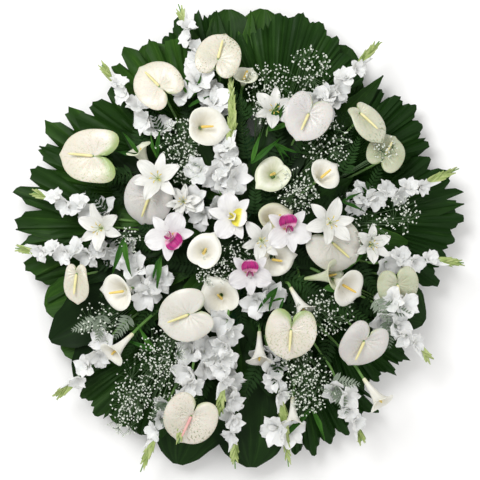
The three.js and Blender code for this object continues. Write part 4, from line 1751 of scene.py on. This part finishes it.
    def floret(self, bundle: Bundle, foot: Vector, direction: Vector, size: float, jitter: Jitter) -> None:
        """Adds an open floret: two whorls of ruffled petals about a smaller one.

        Args:
            bundle: The parts that it joins.
            foot: Where it sits.
            direction: Which way it faces.
            size: Its size as a share.
            jitter: Where small differences come from.
        """
        place = facing(foot, direction, jitter.uniform(0, 120)) @ Matrix.Scale(size, 4)
        bundle.add_each(whorl(self.wides, 3, 0, place, jitter, 9), Finish.GLADIOLUS, jitter)
        lower = place @ shift(0, 0, -self.lower_sink)
        bundle.add_each(whorl(self.narrows, 3, 60, lower, jitter, 9), Finish.GLADIOLUS, jitter)
        heart = place @ shift(0, 0, self.heart_rise) @ Matrix.Scale(self.heart_size, 4)
        bundle.add_each(whorl(self.narrows, 2, 30, heart, jitter, 20), Finish.GLADIOLUS, jitter)

    def shut_bud(
        self, bundle: Bundle, line: list[Vector], share: float, number: int, size: float, jitter: Jitter
    ) -> None:
        """Adds a slim closed bud against the stalk: pale at first, and green towards the tip.

        Args:
            bundle: The parts that it joins.
            line: The stalk's line.
            share: How far along it the bud is.
            number: The bud's number.
            size: Its size as a share.
            jitter: Where small differences come from.
        """
        foot, direction = self.joint(line, share, number, self.bud_up, self.bud_out)
        place = facing(foot, direction, jitter.uniform(0, 90)) @ Matrix.Scale(size, 4)
        finish = Finish.GLADIOLUS if number < 1 else Finish.BUD
        bundle.add_each(whorl([self.closed], 3, 0, place, jitter, 3), finish, jitter)

    def build_clusters(self) -> None:
        """Builds the loose florets as one piece."""
        jitter = Jitter(150)
        bundle = Bundle("gladiolus_florets", Slot.GLADIOLUS)
        for cluster in self.clusters:
            for number in range(cluster.count):
                distance = cluster.spread * math.sqrt((number + 0.3) / cluster.count)
                way = 2.4 * number + cluster.x
                x = cluster.x + distance * math.cos(way)
                y = cluster.y + distance * math.sin(way)
                foot = at(x, y, dome(x, y) + cluster.rise - self.cluster_sink)
                direction = Vector((math.cos(way), math.sin(way), jitter.uniform(1.4, 2.4))).normalized()
                self.floret(bundle, foot, direction, jitter.uniform(0.85, 1.05), jitter)
                bundle.add(stalk(foot, -direction, rooted(x, y), self.cluster_stalk), Finish.STEM)
        bundle.build()


# ---- Anthuriums ----


@dataclass(frozen=True)
class Spathe(Sheet):
    """An anthurium's heart-shaped spathe about its notch."""

    reach: float
    phase: float = 0.0
    breadth: float = 0.8
    lobe: float = 0.05
    open_angle: float = 176.5
    hub: float = 2.5
    rows: int = 14
    columns: int = 48
    thickness: float = 1.1

    def rim(self, away: Array) -> Array:
        """Gives the rim's distance from the notch, by the angle away from the tip in degrees."""
        towards_tip = ((1 + np.cos(np.radians(away))) / 2) ** 4
        beak = 0.07 * np.exp(-((away / 5) ** 2))
        lobe = self.lobe * np.exp(-(((away - 140) / 30) ** 2))
        closing = 1 - 0.52 * np.clip((away - 128) / 49, 0, 1) ** 2.2
        return self.reach * (self.breadth + (0.97 - self.breadth) * towards_tip + beak + lobe) * closing

    def shape(self, u: Array, v: Array) -> Array:
        """Gives the spathe's points, with its face up and its tip along X."""
        side = 2 * v - 1
        away = self.open_angle * (1 - (1 - np.abs(side)) ** 1.3)
        angle = away * np.sign(side)
        turn = np.radians(angle)
        towards_tip = ((1 + np.cos(turn)) / 2) ** 4
        radius = self.hub + (self.rim(away) - self.hub) * u
        rise = 0.12 * self.reach * np.sin(2.2 * u) * (1 - 0.6 * towards_tip)
        vein = -2.0 * np.abs(np.cos(np.radians(7.5 * angle))) ** 8 * np.sin(np.pi * u) * (1 - 0.4 * u)
        edge = 2.0 * np.sin(np.radians(4 * angle) + self.phase) * u**4
        curl = -0.06 * self.reach * u**5
        x = radius * np.cos(turn)
        y = radius * np.sin(turn)
        fold = 0.07 * np.abs(y) - 0.0013 * np.clip(x, 0, None) ** 2
        return np.column_stack([x, y, rise + vein + edge + curl + fold])


@dataclass(frozen=True)
class Anthurium(Bloom):
    """One anthurium: its two finishes, its lobes' size and its breadth."""

    face: Finish = Finish.CREAM_SPATHE
    finger: Finish = Finish.CREAM_SPADIX
    lobe: float = 0.05
    breadth: float = 0.82


@dataclass
class Anthuriums:
    """The anthuriums, each a spathe with its spadix on a stalk."""

    stalk_radius: float = 3.4
    neck: float = 1.5
    edge_phase: float = 1.3
    finger_share: float = 0.72
    finger_radius: float = 3.9
    finger_at: tuple[float, float, float] = (-1.0, 0.0, 3.0)
    finger_lean: float = 77.0
    blooms: tuple[Anthurium, ...] = (
        Anthurium("anthurium_top", Stance(-54, 442, 75, 68, 12, 98)),
        Anthurium("anthurium_upper_left", Stance(-200, 372, 135, 72, 12, 120)),
        Anthurium(
            "anthurium_left", Stance(-350, 192, 175, 88, 12, 150), Finish.TINGED_SPATHE, lobe=0.2,
            breadth=0.73,
        ),
        Anthurium("anthurium_lower_left", Stance(-130, -190, 200, 78, 6, 235), Finish.WHITE_SPATHE),
        Anthurium("anthurium_bottom_left", Stance(-120, -442, 245, 80, 14, 255), finger=Finish.PINK_SPADIX),
        Anthurium("anthurium_upper_right", Stance(168, 290, 245, 70, 10, 60), Finish.GREY_SPATHE),
        Anthurium("anthurium_lower_right", Stance(305, -262, 245, 74, 28, 300), Finish.GREY_SPATHE),
        Anthurium("anthurium_low", Stance(125, -232, 265, 76, 8, 298), Finish.TINGED_SPATHE),
        Anthurium("anthurium_small_left", Stance(-225, 98, 250, 74, 18, 230, -8), Finish.GREY_SPATHE),
        Anthurium("anthurium_green_right", Stance(362, 205, 60, 58, 15, 60, -15), Finish.GREEN_SPATHE),
        Anthurium("anthurium_green_low", Stance(392, -118, 280, 64, 18, 300, -10), Finish.GREEN_SPATHE),
        Anthurium(
            "anthurium_far_right", Stance(298, 306, 307, 88, 30, 60, 8), Finish.GREEN_SPATHE, breadth=0.33
        ),
        Anthurium("anthurium_far_left", Stance(-405, -92, 268, 74, 24, 180, 2), breadth=0.38),
        Anthurium("anthurium_low_inner", Stance(228, -14, 318, 80, 12, 318, 2), Finish.WHITE_SPATHE),
    )

    def build(self) -> None:
        """Builds every anthurium."""
        for index, bloom in enumerate(self.blooms):
            jitter = Jitter(300 + index)
            place = bloom.stance.matrix()
            bundle = bloom.bundle(Slot.ANTHURIUM)
            spathe = Spathe(bloom.stance.reach, self.edge_phase * index, bloom.breadth, bloom.lobe)
            bundle.add(spathe.cut().moved(place), bloom.face, jitter.random())
            finger = Spadix(self.finger_share * bloom.stance.reach, self.finger_radius).cut()
            tilt = shift(*self.finger_at) @ rotation(self.finger_lean, "Y")
            bundle.add(finger.moved(place @ tilt), bloom.finger, jitter.random())
            bloom.plant(bundle, place, self.neck, self.stalk_radius)


# ---- Calla lilies ----


@dataclass(frozen=True)
class Trumpet(Sheet):
    """A calla lily's spathe: one sheet rolled up, with its edges overlapping and its face inside.

    One that shows its face is an open bowl; one that is seen from the side is a slim trumpet.
    """

    reach: float
    phase: float = 0.0
    bowl: float = 0.0
    overlap: float = 0.5
    foot: float = 4.0
    rows: int = 22
    columns: int = 34
    thickness: float = 0.9

    def depth(self) -> float:
        """Gives the distance from its mouth to its foot."""
        return self.reach * (1.0 - 0.38 * self.bowl)

    def shape(self, u: Array, v: Array) -> Array:
        """Gives the spathe's points, with its mouth at the origin and its tip along X."""
        turn = np.pi * (2 * v - 1) * (1 + self.overlap / (2 * np.pi))
        bow = (1 + np.cos(turn)) / 2
        towards_tip = bow**3
        tip = 0.13 * np.exp(-((turn / 0.13) ** 2)) * u**6
        seam = np.clip((np.abs(turn) - 2.3) / 1.0, 0, 1)
        mouth = self.reach * (0.38 + 0.1 * self.bowl + 0.17 * towards_tip - 0.12 * seam + tip)
        straight = 0.3 + 0.32 * self.bowl
        flare = straight * u + (1 - straight) * u ** (2.8 - 0.4 * self.bowl)
        radius = self.foot + (mouth - self.foot) * flare + 1.6 * (v - 0.5)
        roll = (0.08 + 0.07 * self.bowl) * self.reach * u**8 * (0.6 + 0.4 * np.cos(turn))
        z = -self.depth() * (1 - u) ** (1.45 - 0.25 * self.bowl) - 0.1 * self.reach * towards_tip * u**6
        z = z - roll - 0.12 * self.reach * seam * u**3
        z = z + 0.022 * self.reach * np.sin(3 * turn + self.phase) * u**5
        return np.column_stack([radius * np.cos(turn), radius * np.sin(turn), z])


@dataclass(frozen=True)
class Calla(Bloom):
    """One calla lily: its spathe's finish."""

    face: Finish = Finish.CALLA


@dataclass
class Callas:
    """The calla lilies, each a rolled spathe with its spadix on a thick stalk."""

    stalk_radius: float = 4.2
    neck: float = 3.0
    depth_compared: float = 60.0
    bowl_below: float = 45.0
    edge_phase: float = 1.1
    finger_share: float = 0.44
    finger_radius: float = 3.8
    finger_back: float = 3.0
    finger_sink: float = 0.5
    finger_lean: float = 34.0
    blooms: tuple[Calla, ...] = (
        Calla("calla_upper", Stance(-80, 272, -5, 94, 14, 10)),
        Calla("calla_right", Stance(212, 155, 40, 80, 34, 40)),
        Calla("calla_left", Stance(-305, -138, 180, 90, 36, 200)),
        Calla("calla_center", Stance(-92, -44, 60, 80, 10, 240)),
        Calla("calla_lower_left", Stance(-308, -282, 225, 85, 55, 225)),
        Calla("calla_low_right", Stance(275, -125, -30, 94, 42, -30)),
        Calla("calla_bottom_right", Stance(350, -412, -45, 85, 62, 305)),
        Calla("calla_high_middle", Stance(88, 162, 220, 82, 16, 60, 2), Finish.GREEN_CALLA),
        Calla("calla_upper_left", Stance(-255, 222, 100, 80, 66, 120, 8), Finish.GREEN_CALLA),
        Calla("calla_low_middle", Stance(-45, -158, 120, 90, 14, 280, 2)),
        Calla("calla_middle_right", Stance(86, -62, 10, 80, 20, 300, 8)),
        Calla("calla_high_right", Stance(84, 46, 30, 84, 25, 60, 2), Finish.CREAM_CALLA),
        Calla("calla_long_bottom", Stance(132, -470, 270, 74, 66, 270, 8)),
        Calla("calla_right_middle", Stance(162, -190, 300, 80, 66, 300, 8)),
        Calla("calla_bottom_middle", Stance(48, -312, 270, 84, 64, 270, 8)),
        Calla("calla_top_right", Stance(12, 405, 60, 62, 40, 80), Finish.GREEN_CALLA),
        Calla("calla_inner_right", Stance(238, -94, 12, 96, 52, 8, 20), Finish.GREEN_CALLA),
    )

    def build(self) -> None:
        """Builds every calla lily."""
        for index, bloom in enumerate(self.blooms):
            jitter = Jitter(500 + index)
            stance = bloom.stance
            place = stance.matrix()
            bundle = bloom.bundle(Slot.CALLA)
            trumpet = Trumpet(stance.reach, self.edge_phase * index, float(stance.lean < self.bowl_below))
            bundle.add(trumpet.cut().moved(place), bloom.face, jitter.random())
            depth = trumpet.depth()
            finger = Spadix(self.finger_share * stance.reach, self.finger_radius).cut()
            tilt = shift(-self.finger_back, 0, -self.finger_sink * depth) @ rotation(self.finger_lean, "Y")
            bundle.add(finger.moved(place @ tilt), Finish.GOLD_SPADIX, jitter.random())
            bloom.plant(bundle, place, self.neck - depth, self.stalk_radius, self.depth_compared)


# ---- Orchids and lilies ----


@dataclass(frozen=True)
class Orchid(Bloom):
    """One orchid: its lip's finish."""

    lip: Finish = Finish.LIP


@dataclass
class Orchids:
    """The orchids: three sepals, two broad petals, and a ruffled lip round a column."""

    stalk_radius: float = 2.8
    petal_length: float = 62.0
    broad_rise: float = 2.0
    lip_rise: float = 4.0
    column_rise: float = 3.0
    column_lean: float = -40.0
    sepal_ways: tuple[float, ...] = (180.0, 50.0, 310.0)
    broad_ways: tuple[float, ...] = (115.0, 245.0)
    side_way: float = 42.0
    blooms: tuple[Orchid, ...] = (
        Orchid("orchid_left", Stance(-170, -2, -45, 62, 8, 180)),
        Orchid("orchid_right", Stance(125, -1, 100, 60, 8, 0)),
        Orchid("orchid_low", Stance(25, -102, 90, 56, 8, 280)),
        Orchid("orchid_center", Stance(-38, 53, -10, 60, 4, 90), Finish.PALE_LIP),
    )

    def build(self) -> None:
        """Builds every orchid."""
        length = self.petal_length
        sepal = Petal(
            length, 30, widest=0.5, point=1.5, start=62, end=100, cup=0.16, crease=0.8, ruffle=1.2,
            waves=1.5, rows=10, columns=6,
        ).cut()
        broad = Petal(
            length, 54, widest=0.55, foot=0.18, point=1.9, start=66, end=98, cup=0.1, crease=1.0, ruffle=3.6,
            waves=2.6, rows=12, columns=10,
        ).cut()
        lip = Petal(
            42, 46, widest=0.6, foot=0.35, start=35, end=108, cup=0.3, crease=1.2, ruffle=3.2, waves=2.4,
            rows=10, columns=10,
        ).cut()
        side = Petal(
            26, 22, widest=0.55, foot=0.4, start=5, end=40, cup=0.5, crease=0.4, ruffle=1.2, waves=2.0,
            rows=7, columns=6,
        ).cut()
        column = Spadix(18, 4.0, 8, 10).cut()
        for index, bloom in enumerate(self.blooms):
            jitter = Jitter(700 + index)
            place = bloom.stance.matrix() @ Matrix.Scale(bloom.stance.reach / length, 4)
            bundle = bloom.bundle(Slot.ORCHID)
            for cut, rise, ways in ((sepal, 0.0, self.sepal_ways), (broad, self.broad_rise, self.broad_ways)):
                for way in ways:
                    spin = rotation(way + jitter.uniform(-6, 6))
                    moved = cut.moved(place @ shift(0, 0, rise) @ spin)
                    bundle.add(moved, Finish.ORCHID, jitter.random())
            for cut, way in ((lip, 0.0), (side, self.side_way), (side, -self.side_way)):
                moved = cut.moved(place @ shift(0, 0, self.lip_rise) @ rotation(way))
                bundle.add(moved, bloom.lip, jitter.random())
            tilt = shift(0, 0, self.column_rise) @ rotation(self.column_lean, "Y")
            bundle.add(column.moved(place @ tilt), Finish.ORCHID, 0.8)
            bloom.plant(bundle, place, 0.0, self.stalk_radius)


@dataclass(frozen=True)
class Lily(Bloom):
    """One lily; a double one has a whorl of slim petals too."""

    double: bool = False


@dataclass
class Lilies:
    """The lilies and their like: recurved petals round their stamens."""

    stalk_radius: float = 3.2
    full_reach: float = 66.0
    outer_sink: float = 3.0
    slim_petals: int = 9
    stamens: int = 6
    anther_at: tuple[float, float, float] = (9.0, 0.0, 30.0)
    anther_lean: float = 70.0
    blooms: tuple[Lily, ...] = (
        Lily("lily_left", Stance(-205, 148, 15, 66, 15, 140)),
        Lily("lily_right", Stance(228, 38, 75, 66, 15, 10)),
        Lily("lily_upper_right", Stance(82, 310, 20, 58, 12, 60)),
        Lily("lily_far_left", Stance(-342, 22, 40, 62, 20, 190)),
        Lily("lily_middle", Stance(52, -8, 10, 56, 12, 300)),
        Lily("lily_right_low", Stance(322, -18, 20, 52, 15, 350, -5)),
        Lily("lily_open_left", Stance(-138, 86, 15, 44, 10, 140, 2), double=True),
    )

    def __post_init__(self) -> None:
        """Models the petals and a stamen's filament and anther."""
        inner = Petal(
            70, 37, widest=0.5, point=1.55, start=44, cup=0.14, crease=1.4, ruffle=2.6, waves=1.9, rows=12,
            columns=6,
        )
        slim = Petal(
            62, 17, widest=0.5, foot=0.4, point=1.2, start=26, end=84, cup=0.2, crease=1.0, ruffle=1.4,
            waves=1.2, rows=9, columns=4,
        )
        self.inners = inner.kinds((0, 98), (2, 112), (4, 84))
        self.outers = replace(inner, width=29).kinds((1, 104), (3, 90))
        self.slims = [slim.cut()]
        self.filament = tube([Vector((0, 0, 0)), Vector((3, 0, 16)), Vector((12, 0, 30))], [0.8, 0.7, 0.6], 5)
        self.anther = Spadix(9, 1.5, 5, 6).cut()

    def build(self) -> None:
        """Builds every lily."""
        for index, bloom in enumerate(self.blooms):
            jitter = Jitter(900 + index)
            place = bloom.stance.matrix() @ Matrix.Scale(bloom.stance.reach / self.full_reach, 4)
            bundle = bloom.bundle(Slot.LILY)
            bundle.add_each(whorl(self.inners, 3, 0, place, jitter, 9), Finish.LILY, jitter)
            lower = place @ shift(0, 0, -self.outer_sink)
            bundle.add_each(whorl(self.outers, 3, 60, lower, jitter, 9), Finish.LILY, jitter)
            if bloom.double:
                slims = whorl(self.slims, self.slim_petals, 20, place, jitter, 12)
                bundle.add_each(slims, Finish.LILY, jitter)
            self.add_stamens(bundle, place, jitter)
            bloom.plant(bundle, place, 0.0, self.stalk_radius)

    def add_stamens(self, bundle: Bundle, place: Matrix, jitter: Jitter) -> None:
        """Adds the stamens, each a filament with its anther."""
        for number in range(self.stamens):
            spin = place @ rotation(360 * number / self.stamens + jitter.uniform(-9, 9))
            bundle.add(self.filament.moved(spin), Finish.BUD, 0.7)
            tip = spin @ shift(*self.anther_at) @ rotation(self.anther_lean, "Y")
            bundle.add(self.anther.moved(tip), Finish.POLLEN, jitter.random())


# ---- Gypsophila ----


@dataclass(frozen=True)
class Spray:
    """A cloud of gypsophila: its place, its radius and how many blooms it has."""

    x: float
    y: float
    radius: float
    blooms: int


@dataclass
class Gypsophila:
    """Clouds of tiny white blooms on thin, branching twigs."""

    bloom_radius: float = 2.4
    twig_radius: float = 0.45
    fullness: float = 2.3
    width: float = 1.15
    blooms_to_fork: int = 9
    fork_sink: float = 26.0
    fork_share: float = 0.7
    fork_depth: float = 14.0
    bloom_rise: float = 2.0
    bloom_depth: float = 22.0
    clouds: tuple[Spray, ...] = tuple(Spray(*place) for place in (
        (-150, 230, 55, 70), (-145, 172, 48, 50), (70, 372, 55, 75), (170, 418, 50, 60),
        (55, 305, 26, 20), (212, 230, 55, 60), (142, 122, 50, 52), (150, 92, 36, 30), (2, -42, 50, 50),
        (-66, -84, 38, 58), (-188, -282, 55, 80), (-225, -370, 75, 110), (-275, -408, 45, 40),
        (-292, -462, 34, 30), (-350, -208, 45, 30), (175, -202, 50, 50), (225, -182, 50, 45),
        (150, -320, 46, 50), (175, -370, 55, 70), (162, -408, 38, 30), (312, -2, 55, 45),
        (400, 55, 45, 35), (362, 218, 30, 22), (-275, -8, 30, 25),
    ))

    def bloom(self) -> Cut:
        """Models one bloom: a ball whose corners are pulled out to a ruffled star."""
        bpy.ops.object.select_all(action="DESELECT")
        bpy.ops.mesh.primitive_ico_sphere_add(subdivisions=1, radius=1.0)
        cut = taken(bpy.context.object)
        pull = np.where(np.arange(len(cut.points)) % 2 == 0, 1.25, 0.8)
        return replace(cut, points=cut.points * pull[:, None] * self.bloom_radius * np.array([1, 1, 0.7]))

    def build(self) -> None:
        """Builds every cloud."""
        bloom = self.bloom()
        for number, spray in enumerate(self.clouds, 1):
            jitter = Jitter(1100 + number)
            bundle = Bundle(f"gypsophila_{number:02d}", Slot.GYPSOPHILA)
            top = dome(spray.x, spray.y)
            blooms = round(self.fullness * spray.blooms)
            forks = [
                self.somewhere(spray, top - self.fork_sink, self.fork_share, self.fork_depth, jitter)
                for _ in range(max(3, blooms // self.blooms_to_fork))
            ]
            root = rooted(spray.x, spray.y)
            for fork in forks:
                route = eased([root, (root + fork) / 2 + Vector((0, 0, 12)), fork], 2)
                bundle.add(tube(route, np.linspace(1.0, 0.6, len(route)), 3), Finish.TWIG, jitter.random())
            for _ in range(blooms):
                end = self.somewhere(spray, top + self.bloom_rise, 1.0, self.bloom_depth, jitter)
                fork = min(forks, key=lambda point: (point - end).length)
                middle = (fork + end) / 2 + Vector((jitter.uniform(-3, 3), jitter.uniform(-3, 3), 2))
                radii = [self.twig_radius, self.twig_radius, 0.7 * self.twig_radius]
                bundle.add(tube([fork, middle, end], radii, 3), Finish.TWIG, jitter.random())
                direction = Vector((jitter.uniform(-0.7, 0.7), jitter.uniform(-0.7, 0.7), 1.0))
                place = facing(end, direction, jitter.uniform(0, 72))
                size = Matrix.Scale(jitter.uniform(0.7, 1.15), 4)
                bundle.add(bloom.moved(place @ size), Finish.BREATH, jitter.random())
            bundle.build()

    def somewhere(self, spray: Spray, height: float, share: float, depth: float, jitter: Jitter) -> Vector:
        """Gives a random point in a flat cloud.

        Args:
            spray: The cloud.
            height: The height of its middle.
            share: How far out it may be, as a share of the cloud's radius.
            depth: How far above or below the middle it may be.
            jitter: Where the place comes from.

        Returns:
            The point.
        """
        distance = self.width * spray.radius * share * jitter.random() ** 0.6
        way = jitter.uniform(0, 2 * math.pi)
        x = spray.x + distance * math.cos(way)
        y = spray.y + distance * math.sin(way)
        return at(x, y, height + jitter.uniform(-depth, depth))


# ---- The holder and the studio ----


@dataclass
class Holder:
    """The battens, tray, foam, wire and screws, which keep their solids."""

    finishes: dict[str, Finish] = field(default_factory=lambda: {
        "batten": Finish.TIMBER,
        "foam_tray": Finish.TRAY,
        "foam_disc": Finish.FOAM,
        "hanging_wire": Finish.STEEL,
        "screw": Finish.STEEL,
    })

    def dress(self) -> None:
        """Gives every solid of the holder its finish."""
        for name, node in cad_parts.items():
            for start, finish in self.finishes.items():
                if name.startswith(start):
                    node.data.materials.clear()
                    node.data.materials.append(finish.material())
                    log.info("%s: dressed", name)


@dataclass
class Studio:
    """A pale floor, soft lights and the camera, which looks straight down on the wreath."""

    view_width: float = 1200.0
    lens: float = 100.0
    sensor: float = 36.0
    look_height: float = 130.0
    frame_shift_y: float = -7.5
    floor_size: float = 12.0

    def build(self) -> None:
        """Builds the floor, the lights and the camera."""
        self.floor()
        self.lights()
        self.camera()

    def floor(self) -> None:
        """Lays the floor."""
        bpy.ops.object.select_all(action="DESELECT")
        bpy.ops.mesh.primitive_plane_add(size=self.floor_size, location=(0, 0, 0))
        floor = bpy.context.object
        floor.name = "floor"
        shader = Shader("floor")
        painted_shade_share = shader.noise(shader.place(), 3.0)
        tone = shader.blend(painted_shade_share, (0.93, 0.93, 0.93), (0.96, 0.96, 0.96))
        floor.data.materials.append(shader.finish(Base_Color=tone, Roughness=0.9))
        floor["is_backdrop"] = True

    def lights(self) -> None:
        """Hangs a large soft light over the wreath and fills the room with pale light."""
        world = bpy.data.worlds.new("studio")
        world.use_nodes = True
        background = world.node_tree.nodes["Background"]
        background.inputs["Color"].default_value = (1.0, 0.99, 0.97, 1.0)
        background.inputs["Strength"].default_value = 0.66
        bpy.context.scene.world = world
        for name, place, size, power in (
            ("key", (-1.2, 1.3, 2.6), 1.5, 66.0),
            ("fill", (1.8, -1.4, 2.4), 2.2, 22.0),
        ):
            lamp = bpy.data.lights.new(name, "AREA")
            lamp.size = size
            lamp.energy = power
            light = bpy.data.objects.new(name, lamp)
            light.location = place
            aim = Vector((0, 0, 0.1)) - Vector(place)
            light.rotation_euler = aim.to_track_quat("-Z", "Y").to_euler()
            bpy.context.scene.collection.objects.link(light)

    def camera(self) -> None:
        """Sets the camera straight above the wreath."""
        lens = bpy.data.cameras.new("camera")
        lens.lens = self.lens
        lens.sensor_width = self.sensor
        camera = bpy.data.objects.new("camera", lens)
        distance = self.view_width * self.lens / self.sensor
        camera.location = at(0.0, self.frame_shift_y, self.look_height + distance) * MM
        camera.rotation_euler = (0.0, 0.0, 0.0)
        lens.clip_end = 50.0
        bpy.context.scene.collection.objects.link(camera)
        bpy.context.scene.camera = camera
        bpy.context.scene.view_settings.view_transform = "Standard"


def write_sizes() -> None:
    """Works out the solids' box and the dressed wreath's box, but writes them nowhere."""
    boxes = {"cad": CAD_BOX, "visual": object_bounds()}
    {name: [list(corner) for corner in corners] for name, corners in boxes.items()}


def main() -> None:
    """Builds the wreath, part by part."""
    logging.basicConfig(level=logging.INFO, format="%(name)s %(message)s", stream=sys.stdout)
    Studio().build()
    Holder().dress()
    LeafCollar().build()
    UnderLeaves().build()
    InnerLeaves().build()
    FineFoliage().build()
    Gladioli().build()
    Anthuriums().build()
    Callas().build()
    Orchids().build()
    Lilies().build()
    Gypsophila().build()
    write_sizes()


if __name__ == "__main__":
    main()
